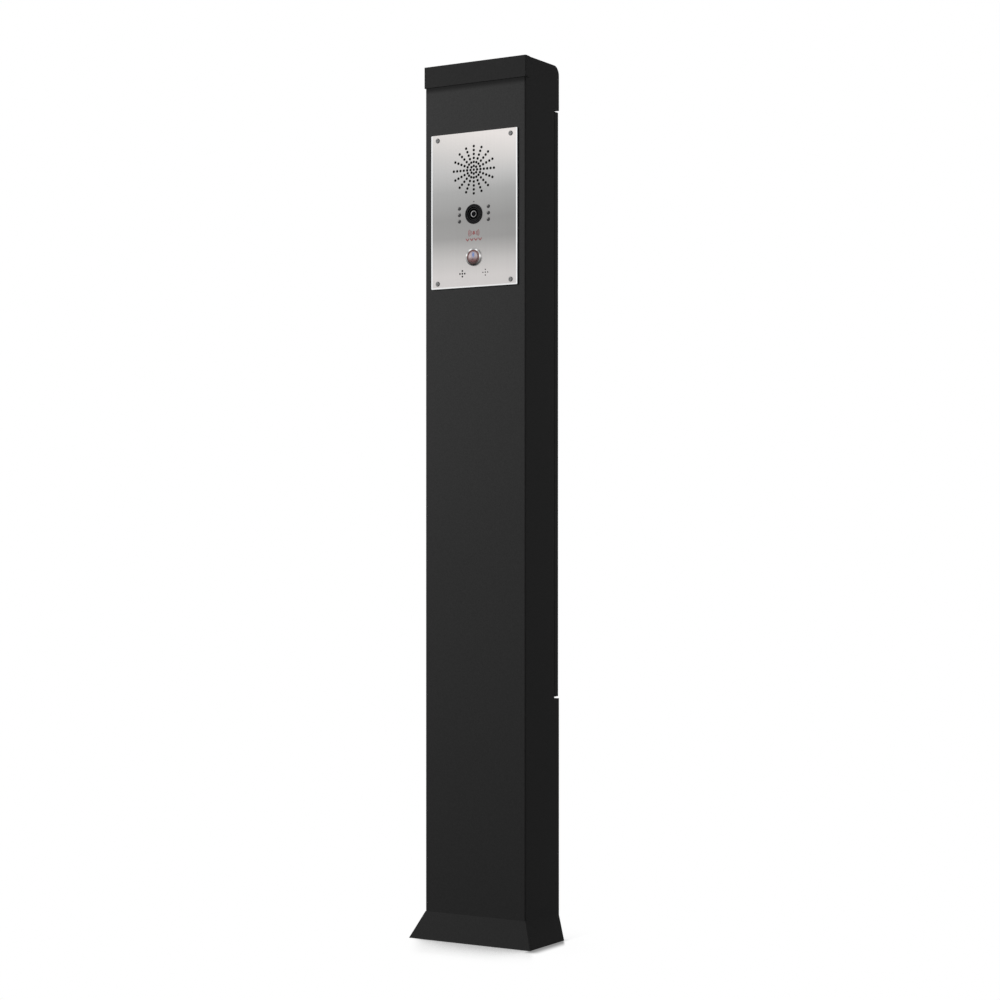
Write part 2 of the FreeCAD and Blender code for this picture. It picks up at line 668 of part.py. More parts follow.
def service_door():
    """Pan with a folded edge all round and two lock holes."""
    pan = box(-HALF_WIDTH, HALF_WIDTH, DOOR_EDGE_Y, DOOR_FACE_Y, DOOR_BOTTOM, DOOR_TOP)
    edges = [
        edge
        for edge in pan.Edges
        if abs(edge.CenterOfMass.y - DOOR_FACE_Y) < 0.01
        and abs(edge.tangentAt(edge.FirstParameter).y) < 0.1
    ]
    pan = pan.makeFillet(DOOR_SHEET, edges)
    hollow = box(
        -(HALF_WIDTH - DOOR_SHEET), HALF_WIDTH - DOOR_SHEET, DOOR_EDGE_Y, DOOR_INSIDE_Y,
        DOOR_BOTTOM + DOOR_SHEET, DOOR_TOP - DOOR_SHEET,
    )
    door = pan.cut(hollow)
    for z in lock_places().values():
        hole = rod_y(LOCK_BARREL_RADIUS + HOLE_CLEARANCE, DOOR_INSIDE_Y, DOOR_FACE_Y, LOCK_X, z)
        door = door.cut(hole)
    return door


def door_seal():
    """Foam frame on the inside of the door, over the rain lip."""
    front = FRAME_LIP_Y + SEAL_CLEARANCE
    outer_x = FRAME_OPEN_X + FRAME_SHEET + SEAL_REACH
    inner_x = FRAME_OPEN_X - SEAL_REACH
    outer_rise = FRAME_SHEET + SEAL_REACH
    outer = box(
        -outer_x, outer_x, front, DOOR_INSIDE_Y,
        FRAME_OPEN_BOTTOM - outer_rise, FRAME_OPEN_TOP + outer_rise,
    )
    inner = box(
        -inner_x, inner_x, front, DOOR_INSIDE_Y,
        FRAME_OPEN_BOTTOM + SEAL_REACH, FRAME_OPEN_TOP - SEAL_REACH,
    )
    return outer.cut(inner)


def hinge_places():
    """Heights of the two hinges, by name."""
    return {"bottom": DOOR_BOTTOM + HINGE_END_OFFSET, "top": DOOR_TOP - HINGE_END_OFFSET}


def knuckle_bounds(middle):
    """The three knuckles of a hinge, as (z0, z1), from the lowest."""
    length = (HINGE_LENGTH - 2 * RUNNING_CLEARANCE) / 3
    bottom = middle - HINGE_LENGTH / 2
    step = length + RUNNING_CLEARANCE
    return [(bottom + k * step, bottom + k * step + length) for k in range(3)]


def hinge_leaf(middle, depth, direction, own, other):
    """A leaf with its knuckles, cut away beside the knuckles of the other leaf."""
    face_x = -HALF_WIDTH
    reach = HINGE_KNUCKLE_RADIUS + 2 * RUNNING_CLEARANCE
    y0, y1 = sorted((HINGE_Y, HINGE_Y + direction * depth))
    leaf = box(
        face_x - HINGE_LEAF, face_x, y0, y1, middle - HINGE_LENGTH / 2, middle + HINGE_LENGTH / 2
    )
    for z0, z1 in other:
        notch = box(
            face_x - 2 * reach, face_x, HINGE_Y - reach, HINGE_Y + reach,
            z0 - RUNNING_CLEARANCE, z1 + RUNNING_CLEARANCE,
        )
        leaf = leaf.cut(notch)
    knuckles = [rod_z(HINGE_KNUCKLE_RADIUS, z0, z1, HINGE_X, HINGE_Y) for z0, z1 in own]
    leaf = fused([leaf] + knuckles)
    bore = HINGE_PIN_RADIUS + HINGE_PIN_CLEARANCE
    return leaf.cut(rod_z(bore, middle - HINGE_LENGTH, middle + HINGE_LENGTH, HINGE_X, HINGE_Y))


def hinge_body_leaf(middle):
    """Leaf on the side of the body, with the outer knuckles."""
    low, centre, high = knuckle_bounds(middle)
    return hinge_leaf(middle, HINGE_BODY_LEAF_DEPTH, -1, [low, high], [centre])


def hinge_door_leaf(middle):
    """Leaf on the edge of the door, with the middle knuckle."""
    low, centre, high = knuckle_bounds(middle)
    return hinge_leaf(middle, HINGE_DOOR_LEAF_DEPTH, 1, [centre], [low, high])


def hinge_pins():
    """Headed pins, each through the three knuckles of one hinge."""
    pins = []
    for middle in hinge_places().values():
        top = middle + HINGE_LENGTH / 2
        shank = rod_z(HINGE_PIN_RADIUS, middle - HINGE_LENGTH / 2, top, HINGE_X, HINGE_Y)
        head = rod_z(HINGE_PIN_HEAD_RADIUS, top, top + HINGE_PIN_HEAD_HEIGHT, HINGE_X, HINGE_Y)
        pins.append(fused([shank, head]))
    return group(pins)


def lock_housing(z):
    """Flanged barrel through the door."""
    back = DOOR_FACE_Y - LOCK_BARREL_LENGTH
    front = DOOR_FACE_Y + LOCK_HEAD_HEIGHT
    bore = LOCK_CORE_RADIUS + RUNNING_CLEARANCE
    counterbore = LOCK_COLLAR_RADIUS + RUNNING_CLEARANCE
    seat = front - LOCK_COLLAR_HEIGHT - RUNNING_CLEARANCE
    return turned(
        [
            (bore, back),
            (LOCK_BARREL_RADIUS, back),
            (LOCK_BARREL_RADIUS, DOOR_FACE_Y),
            (LOCK_HEAD_RADIUS, DOOR_FACE_Y),
            (LOCK_HEAD_RADIUS, front - LOCK_HEAD_HEIGHT / 2),
            (LOCK_HEAD_RADIUS - LOCK_HEAD_HEIGHT / 2, front),
            (counterbore, front),
            (counterbore, seat),
            (bore, seat),
        ],
        LOCK_X, z,
    )


def lock_nuts():
    """Hexagonal nuts that clamp the lock housings behind the door."""
    nuts = []
    back = DOOR_INSIDE_Y - LOCK_NUT_HEIGHT
    flats = LOCK_NUT_RADIUS * math.cos(math.radians(30))
    for z in lock_places().values():
        nut = hexagon_y(flats, back, DOOR_INSIDE_Y, LOCK_X, z)
        bore = rod_y(LOCK_BARREL_RADIUS + THREAD_CLEARANCE, back, DOOR_INSIDE_Y, LOCK_X, z)
        nuts.append(nut.cut(bore))
    return group(nuts)


def lock_core(z):
    """Turning core with a collar, a square drive socket and a square end for the cam."""
    front = DOOR_FACE_Y + LOCK_HEAD_HEIGHT
    seat = front - LOCK_COLLAR_HEIGHT
    core = turned(
        [
            (0, CAM_FACE_Y),
            (LOCK_CORE_RADIUS, CAM_FACE_Y),
            (LOCK_CORE_RADIUS, seat),
            (LOCK_COLLAR_RADIUS, seat),
            (LOCK_COLLAR_RADIUS, front),
            (0, front),
        ],
        LOCK_X, z,
    )
    half = CAM_SQUARE / 2
    tenon = box(
        LOCK_X - half, LOCK_X + half, CAM_FACE_Y - CAM_THICKNESS, CAM_FACE_Y, z - half, z + half
    )
    drive = LOCK_DRIVE_WIDTH / 2
    socket = box(
        LOCK_X - drive, LOCK_X + drive, front - LOCK_DRIVE_DEPTH, front, z - drive, z + drive
    )
    return fused([core, tenon]).cut(socket)


def lock_cam(z):
    """Flat cam, hanging down when the lock is open."""
    reach = FRAME_OPEN_X + CAM_OVERLAP - LOCK_X
    back = CAM_FACE_Y - CAM_THICKNESS
    tip_z = z - reach + CAM_HALF_WIDTH
    hub = rod_y(CAM_HALF_WIDTH, back, CAM_FACE_Y, LOCK_X, z)
    tip = rod_y(CAM_HALF_WIDTH, back, CAM_FACE_Y, LOCK_X, tip_z)
    bar = box(LOCK_X - CAM_HALF_WIDTH, LOCK_X + CAM_HALF_WIDTH, back, CAM_FACE_Y, tip_z, z)
    half = CAM_SQUARE / 2 + THREAD_CLEARANCE
    hole = box(LOCK_X - half, LOCK_X + half, back, CAM_FACE_Y, z - half, z + half)
    return fused([hub, bar, tip]).cut(hole)


def reed_switch():
    """Tamper contact under the top of the frame."""
    return box(
        REED_X, REED_X + REED_LENGTH, SEAM_Y - FRAME_SHEET, FRAME_LIP_Y,
        FRAME_OPEN_TOP - REED_HEIGHT, FRAME_OPEN_TOP,
    )


def reed_magnet():
    """Magnet on the door, facing the tamper contact."""
    top = FRAME_OPEN_TOP - MAGNET_DROP
    return box(
        REED_X, REED_X + REED_LENGTH, DOOR_INSIDE_Y - MAGNET_THICKNESS, DOOR_INSIDE_Y,
        top - REED_HEIGHT, top,
    )


def grille_places():
    """Centres of the speaker holes, as (x, z)."""
    centre = SPEAKER_Z
    places = [(0.0, centre)]
    for ring in range(1, GRILLE_RINGS + 1):
        count = GRILLE_SPOKES // 2 if ring == 1 else GRILLE_SPOKES
        for spoke in range(count):
            angle = 2 * math.pi * spoke / count
            radius = ring * GRILLE_PITCH
            places.append((radius * math.sin(angle), centre + radius * math.cos(angle)))
    return places


def mic_places():
    """Centres of the two microphones, by name, as (x, z)."""
    return {"left": (-MIC_X, MIC_Z), "right": (MIC_X, MIC_Z)}


def lamp_places(side):
    """Centres of the infrared lamps on one side of the camera, as (x, z)."""
    middle = (LAMP_COUNT - 1) / 2
    z = CAMERA_Z
    return [(side * LAMP_X, z + (k - middle) * LAMP_PITCH) for k in range(LAMP_COUNT)]


def speaker_stud_places():
    """Centres of the studs that hold the speaker, as (x, z)."""
    return corners_of_pattern(2 * SPEAKER_STUD_OFFSET, 2 * SPEAKER_STUD_OFFSET, SPEAKER_Z)


def plate_holes():
    """Every round hole in the face plate, as (radius, x, z)."""
    holes = [(GRILLE_HOLE_RADIUS, x, z) for x, z in grille_places()]
    holes.append((CAMERA_BARREL_RADIUS + HOLE_CLEARANCE, 0, CAMERA_Z))
    holes.append((SENSOR_HOLE_RADIUS, 0, SENSOR_Z))
    holes.append((BUTTON_BARREL_RADIUS + HOLE_CLEARANCE, 0, BUTTON_Z))
    for side in (-1, 1):
        holes += [(LAMP_RADIUS + HOLE_CLEARANCE, x, z) for x, z in lamp_places(side)]
    for x, z in mic_places().values():
        step = MIC_HOLE_SPACING
        for dx, dz in ((0, 0), (step, 0), (-step, 0), (0, step), (0, -step)):
            holes.append((MIC_HOLE_RADIUS, x + dx, z + dz))
    for x, z in corners_of_pattern(SCREW_SPACING_X, SCREW_SPACING_Z, PANEL_Z):
        holes.append((PLATE_SCREW_RADIUS + HOLE_CLEARANCE, x, z))
    return holes


def face_plate():
    """Stainless plate with its round holes, drilled in one cut."""
    plate = rounded_plate(
        PLATE_WIDTH, PLATE_HEIGHT, PLATE_CORNER_RADIUS, PLATE_FACE_Y, PLATE_BACK_Y, 0, PANEL_Z
    )
    drills = [rod_y(radius, PLATE_FACE_Y, PLATE_BACK_Y, x, z) for radius, x, z in plate_holes()]
    return plate.cut(drills)


def plate_gasket():
    """Foam ring between the face plate and the body."""
    outer = rounded_plate(
        PLATE_WIDTH, PLATE_HEIGHT, PLATE_CORNER_RADIUS, PLATE_BACK_Y, FRONT_Y, 0, PANEL_Z
    )
    hole = rounded_plate(
        CUTOUT_WIDTH, CUTOUT_HEIGHT, CUTOUT_CORNER_RADIUS, PLATE_BACK_Y, FRONT_Y, 0, PANEL_Z
    )
    return outer.cut(hole)


def plate_screws():
    """Button-head security screws: a hexagon socket with a centre pin."""
    screws = []
    face = PLATE_FACE_Y
    crown = face - PLATE_SCREW_HEAD_HEIGHT
    rim = PLATE_SCREW_HEAD_RADIUS
    land = PLATE_SCREW_SOCKET
    shoulder = (PLATE_SCREW_SHOULDER_RADIUS, crown + PLATE_SCREW_SHOULDER_DROP)
    for x, z in corners_of_pattern(SCREW_SPACING_X, SCREW_SPACING_Z, PANEL_Z):
        screw = turned(
            [
                (0, crown),
                (land, crown),
                (shoulder, (rim, face)),
                (PLATE_SCREW_RADIUS, face),
                (PLATE_SCREW_RADIUS, face + PLATE_SCREW_LENGTH),
                (0, face + PLATE_SCREW_LENGTH),
            ],
            x, z,
        )
        bottom = crown + PLATE_SCREW_SOCKET_DEPTH
        socket = hexagon_y(land / 2, crown, bottom, x, z)
        pin = rod_y(PLATE_SCREW_PIN_RADIUS, crown, bottom, x, z)
        screws.append(screw.cut(socket.cut(pin)))
    return group(screws)


def back_box():
    """Tray behind the cut-out, with a flange against the inside of the body."""
    floor = BOX_FLOOR_Y + BOX_SHEET
    flange = rounded_plate(
        CUTOUT_WIDTH + 2 * (BOX_SHEET + BOX_FLANGE), CUTOUT_HEIGHT + 2 * (BOX_SHEET + BOX_FLANGE),
        CUTOUT_CORNER_RADIUS, INSIDE_Y, INSIDE_Y + BOX_SHEET, 0, PANEL_Z,
    )
    wall = rounded_plate(
        CUTOUT_WIDTH + 2 * BOX_SHEET, CUTOUT_HEIGHT + 2 * BOX_SHEET,
        CUTOUT_CORNER_RADIUS + BOX_SHEET, INSIDE_Y, floor, 0, PANEL_Z,
    )
    hollow = rounded_plate(
        CUTOUT_WIDTH, CUTOUT_HEIGHT, CUTOUT_CORNER_RADIUS, INSIDE_Y, BOX_FLOOR_Y, 0, PANEL_Z
    )
    tray = fused([flange, wall]).cut(hollow)
    bottom = PANEL_Z - CUTOUT_HEIGHT / 2
    hole = rod_z(GLAND_RADIUS + HOLE_CLEARANCE, bottom - BOX_SHEET, bottom, 0, GLAND_Y)
    return tray.cut(hole)


def corner_posts():
    """Four threaded posts in the back box that take the plate screws."""
    posts = []
    tapped = PLATE_SCREW_RADIUS + THREAD_CLEARANCE
    end = PLATE_FACE_Y + PLATE_SCREW_LENGTH + 2 * RUNNING_CLEARANCE
    for x, z in corners_of_pattern(SCREW_SPACING_X, SCREW_SPACING_Z, PANEL_Z):
        post = rod_y(POST_RADIUS, PLATE_BACK_Y, BOX_FLOOR_Y, x, z)
        posts.append(post.cut(rod_y(tapped, PLATE_BACK_Y, end, x, z)))
    return group(posts)


def speaker_dust_cloth():
    """Disc of black cloth between the holes and the speaker."""
    return rod_y(CLOTH_RADIUS, PLATE_BACK_Y, CLOTH_BACK_Y, 0, SPEAKER_Z)


def speaker_basket():
    """Square flange and round steel basket."""
    z = SPEAKER_Z
    seat = CLOTH_BACK_Y
    back = seat + SPEAKER_DEPTH
    flange = rounded_plate(
        2 * SPEAKER_HALF_WIDTH, 2 * SPEAKER_HALF_WIDTH, SPEAKER_CORNER_RADIUS,
        seat, seat + SPEAKER_FLANGE, 0, z,
    )
    mouth = rod_y(SPEAKER_MOUTH_RADIUS - SPEAKER_FLANGE, seat, seat + SPEAKER_FLANGE, 0, z)
    bowl = turned(
        [
            (SPEAKER_MOUTH_RADIUS - SPEAKER_FLANGE, seat),
            (SPEAKER_MOUTH_RADIUS, seat),
            (SPEAKER_THROAT_RADIUS, back),
            (0, back),
            (0, back - SPEAKER_FLANGE),
            (SPEAKER_THROAT_RADIUS - SPEAKER_FLANGE, back - SPEAKER_FLANGE),
        ],
        0, z,
    )
    basket = fused([flange.cut(mouth), bowl])
    for x, stud_z in speaker_stud_places():
        hole = SPEAKER_STUD_RADIUS + HOLE_CLEARANCE
        basket = basket.cut(rod_y(hole, seat, seat + SPEAKER_FLANGE, x, stud_z))
    return basket


def speaker_cone():
    """Paper cone inside the basket, with a domed dust cap in its middle."""
    run = SPEAKER_DEPTH - SPEAKER_FLANGE
    slope = (SPEAKER_MOUTH_RADIUS - SPEAKER_THROAT_RADIUS) / run
    slant = math.hypot(1, slope)
    rim = SPEAKER_MOUTH_RADIUS - SPEAKER_FLANGE - RUNNING_CLEARANCE * slant
    depth = run - RUNNING_CLEARANCE
    throat = rim - slope * depth
    back = CLOTH_BACK_Y + depth
    dome_edge = back - CONE_PAPER
    dome_crown = back - CONE_PAPER - CONE_DOME_RISE
    half = throat / 2
    return turned(
        [
            (0, back),
            (0, dome_crown),
            ((half, dome_crown + CONE_DOME_RISE / 4), (throat, dome_edge - CONE_PAPER)),
            (rim - CONE_PAPER * slant, CLOTH_BACK_Y),
            (rim, CLOTH_BACK_Y),
            (throat, back),
        ],
        0, SPEAKER_Z,
    )


def speaker_magnet():
    """Magnet and back plate of the speaker."""
    front = CLOTH_BACK_Y + SPEAKER_DEPTH
    back = front + SPEAKER_MAGNET_HEIGHT
    return rod_y(SPEAKER_MAGNET_RADIUS, front, back, 0, SPEAKER_Z)


def speaker_nuts():
    """Four welded studs on the plate, each with its nut."""
    fixings = []
    front = CLOTH_BACK_Y + SPEAKER_FLANGE
    for x, z in speaker_stud_places():
        stud = rod_y(SPEAKER_STUD_RADIUS, PLATE_BACK_Y, PLATE_BACK_Y + SPEAKER_STUD_LENGTH, x, z)
        nut = hexagon_y(SPEAKER_NUT_RADIUS, front, front + SPEAKER_NUT_HEIGHT, x, z)
        fixings.append(fused([stud, nut]))
    return group(fixings)


def camera_bezel():
    """Black stepped bezel, turned in one with its barrel."""
    face = PLATE_FACE_Y - CAMERA_BEZEL_HEIGHT
    step = face + CAMERA_RECESS_DEPTH
    bore = CAMERA_RING_RADIUS + THREAD_CLEARANCE
    throat = bore + CAMERA_RING_WIDTH
    round_off = CAMERA_BEZEL_HEIGHT / 2
    return turned(
        [
            (bore, step + CAMERA_RECESS_DEPTH),
            (throat, step),
            (CAMERA_RECESS_RADIUS, step),
            (CAMERA_RECESS_RADIUS, face),
            (CAMERA_BEZEL_RADIUS - round_off, face),
            (CAMERA_BEZEL_RADIUS, face + round_off),
            (CAMERA_BEZEL_RADIUS, PLATE_FACE_Y),
            (CAMERA_BARREL_RADIUS, PLATE_FACE_Y),
            (CAMERA_BARREL_RADIUS, PLATE_FACE_Y + CAMERA_BARREL_LENGTH),
            (bore, PLATE_FACE_Y + CAMERA_BARREL_LENGTH),
        ],
        0, CAMERA_Z,
    )


def camera_ring_front():
    """The Y plane of the front of the lens ring."""
    return PLATE_FACE_Y - CAMERA_BEZEL_HEIGHT + CAMERA_RING_SETBACK


def camera_lens_ring():
    """Bright ring round the lens."""
    front = camera_ring_front()
    outer = CAMERA_RING_RADIUS
    inner = CAMERA_RING_RADIUS - CAMERA_RING_WIDTH
    back = front + CAMERA_RING_HEIGHT
    crest = (outer + inner) / 2
    return turned(
        [
            (inner, front + CAMERA_RING_WIDTH / 2),
            ((crest, front), (outer, front + CAMERA_RING_WIDTH / 2)),
            (outer, back),
            (inner, back),
        ],
        0, CAMERA_Z,
    )


def camera_lens():
    """Domed front glass."""
    radius = CAMERA_RING_RADIUS - CAMERA_RING_WIDTH - THREAD_CLEARANCE
    edge = camera_ring_front() + CAMERA_RING_HEIGHT / 2
    back = camera_ring_front() + CAMERA_RING_HEIGHT
    crown = edge - CAMERA_LENS_RISE
    half = radius / 2
    return turned(
        [
            (0, back),
            (0, crown),
            ((half, edge - CAMERA_LENS_RISE * 0.76), (radius, edge)),
            (radius, back),
        ],
        0, CAMERA_Z,
    )


def camera_nut():
    """Ring nut behind the plate."""
    z = CAMERA_Z
    back = PLATE_BACK_Y + CAMERA_NUT_HEIGHT
    outer = rod_y(CAMERA_BARREL_RADIUS + CAMERA_NUT_WALL, PLATE_BACK_Y, back, 0, z)
    return outer.cut(rod_y(CAMERA_BARREL_RADIUS + THREAD_CLEARANCE, PLATE_BACK_Y, back, 0, z))


def camera_module():
    """Sensor module, seated on the end of the barrel and reaching up to the lens."""
    z = CAMERA_Z
    half = CAMERA_MODULE_WIDTH / 2
    front = PLATE_FACE_Y + CAMERA_BARREL_LENGTH
    case = box(-half, half, front, front + CAMERA_MODULE_DEPTH, z - half, z + half)
    optics = rod_y(
        CAMERA_RING_RADIUS - RUNNING_CLEARANCE, camera_ring_front() + CAMERA_RING_HEIGHT, front, 0, z
    )
    return fused([case, optics])


def infrared_lamps(side):
    """Three domed lamps that pass through the plate, each with a rim behind it."""
    lamps = []
    face = PLATE_FACE_Y
    rim_back = PLATE_BACK_Y + LAMP_RIM
    half = LAMP_RADIUS / 2
    for x, z in lamp_places(side):
        lamp = turned(
            [
                (0, PLATE_BACK_Y + LAMP_LENGTH),
                (0, face - LAMP_RISE),
                ((half, face - LAMP_RISE * 0.78), (LAMP_RADIUS, face)),
                (LAMP_RADIUS, PLATE_BACK_Y),
                (LAMP_RADIUS + LAMP_RIM, PLATE_BACK_Y),
                (LAMP_RADIUS + LAMP_RIM, rim_back),
                (LAMP_RADIUS, rim_back),
                (LAMP_RADIUS, PLATE_BACK_Y + LAMP_LENGTH),
            ],
            x, z,
        )
        lamps.append(lamp)
    return group(lamps)


def lamp_board(side):
    """Small board that carries the lamps of one side."""
    x = side * LAMP_X
    z = CAMERA_Z
    half_height = (LAMP_COUNT - 1) * LAMP_PITCH / 2 + LAMP_BOARD_MARGIN
    front = PLATE_BACK_Y + LAMP_LENGTH
    half_width = LAMP_BOARD_WIDTH / 2
    return box(
        x - half_width, x + half_width, front, front + BOARD_THICKNESS, z - half_height, z + half_height
    )


def light_sensor():
    """Light sensor behind its hole, with a lens that fills the hole."""
    z = SENSOR_Z
    half = SENSOR_WIDTH / 2
    case = box(-half, half, PLATE_BACK_Y, PLATE_BACK_Y + SENSOR_DEPTH, z - half, z + half)
    lens = rod_y(
        SENSOR_HOLE_RADIUS - THREAD_CLEARANCE, PLATE_FACE_Y + PLATE_SHEET / 4, PLATE_BACK_Y, 0, z
    )
    return fused([case, lens])


def bell():
    """The bell of the call sign, with its clapper below the rim."""
    front = PLATE_FACE_Y - SIGN_THICKNESS
    crown = BELL_Z + BELL_HEIGHT / 2
    bottom = BELL_Z - BELL_HEIGHT / 2
    rim = bottom + CLAPPER_SHOWN
    right = [
        (BELL_CROWN_WIDTH / 2, crown),
        (BELL_SHOULDER_WIDTH / 2, crown - BELL_SHOULDER_DROP),
        (BELL_WAIST_WIDTH / 2, crown - BELL_WAIST_DROP),
        (BELL_RIM_WIDTH / 2, rim + BELL_RIM_HEIGHT),
        (BELL_RIM_WIDTH / 2, rim),
    ]
    left = [(-x, z) for x, z in reversed(right)]
    dome = prism_y(right + left, front, PLATE_FACE_Y)
    clapper = rod_y(CLAPPER_RADIUS, front, PLATE_FACE_Y, 0, bottom + CLAPPER_RADIUS)
    return fused([dome, clapper])


def sound_arc(radius, sign):
    """One short arc of sound beside the bell."""
    front = PLATE_FACE_Y - SIGN_THICKNESS
    ring = rod_y(radius, front, PLATE_FACE_Y, 0, BELL_Z)
    ring = ring.cut(rod_y(radius - ARC_STROKE, front, PLATE_FACE_Y, 0, BELL_Z))
    spread = radius * math.sin(math.radians(ARC_HALF_ANGLE))
    near, far = sorted((0, sign * radius))
    return ring.common(box(near, far, front, PLATE_FACE_Y, BELL_Z - spread, BELL_Z + spread))


def chevron(x):
    """One chevron of the row below the bell, pointing down."""
    base = CHEVRON_TOP - CHEVRON_STROKE
    tip = base - CHEVRON_HEIGHT
    half = CHEVRON_WIDTH / 2
    outline = [
        (x, tip),
        (x + half, base),
        (x + half, CHEVRON_TOP),
        (x, tip + CHEVRON_STROKE),
        (x - half, CHEVRON_TOP),
        (x - half, base),
    ]
    return prism_y(outline, PLATE_FACE_Y - SIGN_THICKNESS, PLATE_FACE_Y)


def call_sign():
    """Red print above the button: a bell with sound arcs, and a row of chevrons."""
    radii = [ARC_RADIUS + k * ARC_PITCH for k in range(ARC_COUNT)]
    arcs = [sound_arc(radius, sign) for sign in (-1, 1) for radius in radii]
    middle = (CHEVRON_COUNT - 1) / 2
    chevrons = [chevron((k - middle) * CHEVRON_PITCH) for k in range(CHEVRON_COUNT)]
    return group([bell()] + arcs + chevrons)


def button_bezel():
    """Polished bezel, turned in one with its threaded barrel."""
    face = PLATE_FACE_Y - BUTTON_BEZEL_HEIGHT
    back = PLATE_FACE_Y + BUTTON_BARREL_LENGTH
    pocket = BUTTON_RING_RADIUS + THREAD_CLEARANCE
    floor = face + BUTTON_BEZEL_ROUND + BUTTON_RING_HEIGHT
    bore = BUTTON_CAP_RADIUS + BUTTON_CLEARANCE
    shoulder = floor + BUTTON_CAP_HEIGHT + BUTTON_TRAVEL
    guide = BUTTON_STEM_RADIUS + BUTTON_CLEARANCE
    corner = BUTTON_BEZEL_RADIUS - BUTTON_BEZEL_ROUND
    bend = BUTTON_BEZEL_ROUND * (1 - math.sqrt(0.5))
    return turned(
        [
            (pocket, face + BUTTON_BEZEL_ROUND),
            ((pocket + bend, face + bend), (pocket + BUTTON_BEZEL_ROUND, face)),
            (corner, face),
            ((BUTTON_BEZEL_RADIUS - bend, face + bend), (BUTTON_BEZEL_RADIUS, face + BUTTON_BEZEL_ROUND)),
            (BUTTON_BEZEL_RADIUS, PLATE_FACE_Y),
            (BUTTON_BARREL_RADIUS, PLATE_FACE_Y),
            (BUTTON_BARREL_RADIUS, back),
            (guide, back),
            (guide, shoulder),
            (bore, shoulder),
            (bore, floor),
            (pocket, floor),
        ],
        0, BUTTON_Z,
    )


def button_light_ring():
    """Lit ring between the bezel and the cap."""
    front = PLATE_FACE_Y - BUTTON_BEZEL_HEIGHT + BUTTON_BEZEL_ROUND
    back = front + BUTTON_RING_HEIGHT
    z = BUTTON_Z
    ring = rod_y(BUTTON_RING_RADIUS, front, back, 0, z)
    return ring.cut(rod_y(BUTTON_CAP_RADIUS + BUTTON_CLEARANCE, front, back, 0, z))


def button_cap():
    """Dished metal cap with its stem, the piece that is pressed."""
    face = PLATE_FACE_Y - BUTTON_BEZEL_HEIGHT
    back = face + BUTTON_BEZEL_ROUND + BUTTON_RING_HEIGHT + BUTTON_CAP_HEIGHT
    stem_back = PLATE_FACE_Y + BUTTON_BARREL_LENGTH - BUTTON_TRAVEL - BUTTON_CLEARANCE
    land = BUTTON_CAP_RADIUS - BUTTON_CAP_DISH
    return turned(
        [
            (0, face + BUTTON_CAP_DISH),
            ((land / 2, face + BUTTON_CAP_DISH * 0.75), (land, face)),
            (BUTTON_CAP_RADIUS, face + BUTTON_CAP_DISH),
            (BUTTON_CAP_RADIUS, back),
            (BUTTON_STEM_RADIUS, back),
            (BUTTON_STEM_RADIUS, stem_back),
            (0, stem_back),
        ],
        0, BUTTON_Z,
    )


def button_nut():
    """Hexagonal nut that clamps the bezel to the plate."""
    z = BUTTON_Z
    back = PLATE_BACK_Y + BUTTON_NUT_HEIGHT
    nut = hexagon_y(BUTTON_NUT_RADIUS, PLATE_BACK_Y, back, 0, z)
    return nut.cut(rod_y(BUTTON_BARREL_RADIUS + THREAD_CLEARANCE, PLATE_BACK_Y, back, 0, z))


def button_switch():
    """Switch block on the end of the barrel, with two pairs of tabs."""
    z = BUTTON_Z
    block = rod_y(BUTTON_BARREL_RADIUS, SWITCH_FRONT_Y, SWITCH_BACK_Y, 0, z)
    end = SWITCH_BACK_Y + SWITCH_TAB_LENGTH
    half_x = SWITCH_TAB_WIDTH / 2
    half_z = SWITCH_TAB_SHEET / 2
    tabs = [
        box(x - half_x, x + half_x, SWITCH_BACK_Y, end, tab_z - half_z, tab_z + half_z)
        for x, tab_z in corners_of_pattern(BUTTON_BARREL_RADIUS, BUTTON_BARREL_RADIUS, z)
    ]
    return fused([block] + tabs)


def microphone(x, z):
    """Microphone capsule in its rubber boot, sealed to the back of the plate."""
    front = PLATE_BACK_Y
    back = front + MIC_BOOT_DEPTH
    boot = rod_y(MIC_BOOT_RADIUS, front, back, x, z)
    lead_end = rod_y(MIC_BOOT_RADIUS / 2, back, back + MIC_BOOT_DEPTH / 3, x, z)
    return fused([boot, lead_end])


def board_hole_places():
    """Centres of the standoffs under the main board, as (x, z)."""
    return corners_of_pattern(
        BOARD_WIDTH - 2 * BOARD_HOLE_INSET, BOARD_HEIGHT - 2 * BOARD_HOLE_INSET, PANEL_Z
    )


def main_board():
    """Circuit board with its screw holes."""
    board = box(
        -BOARD_WIDTH / 2, BOARD_WIDTH / 2, BOARD_FACE_Y, BOARD_Y,
        PANEL_Z - BOARD_HEIGHT / 2, PANEL_Z + BOARD_HEIGHT / 2,
    )
    hole = STANDOFF_RADIUS / 2 + HOLE_CLEARANCE
    return board.cut([rod_y(hole, BOARD_FACE_Y, BOARD_Y, x, z) for x, z in board_hole_places()])


def board_standoffs():
    """Four standoffs on the floor of the back box, each with a snap head over the board."""
    standoffs = []
    for x, z in board_hole_places():
        post = rod_y(STANDOFF_RADIUS, BOARD_Y, BOX_FLOOR_Y, x, z)
        neck = rod_y(STANDOFF_RADIUS / 2, BOARD_FACE_Y, BOARD_Y, x, z)
        head = rod_y(STANDOFF_RADIUS, BOARD_FACE_Y - BOARD_THICKNESS, BOARD_FACE_Y, x, z)
        standoffs.append(fused([post, neck, head]))
    return group(standoffs)


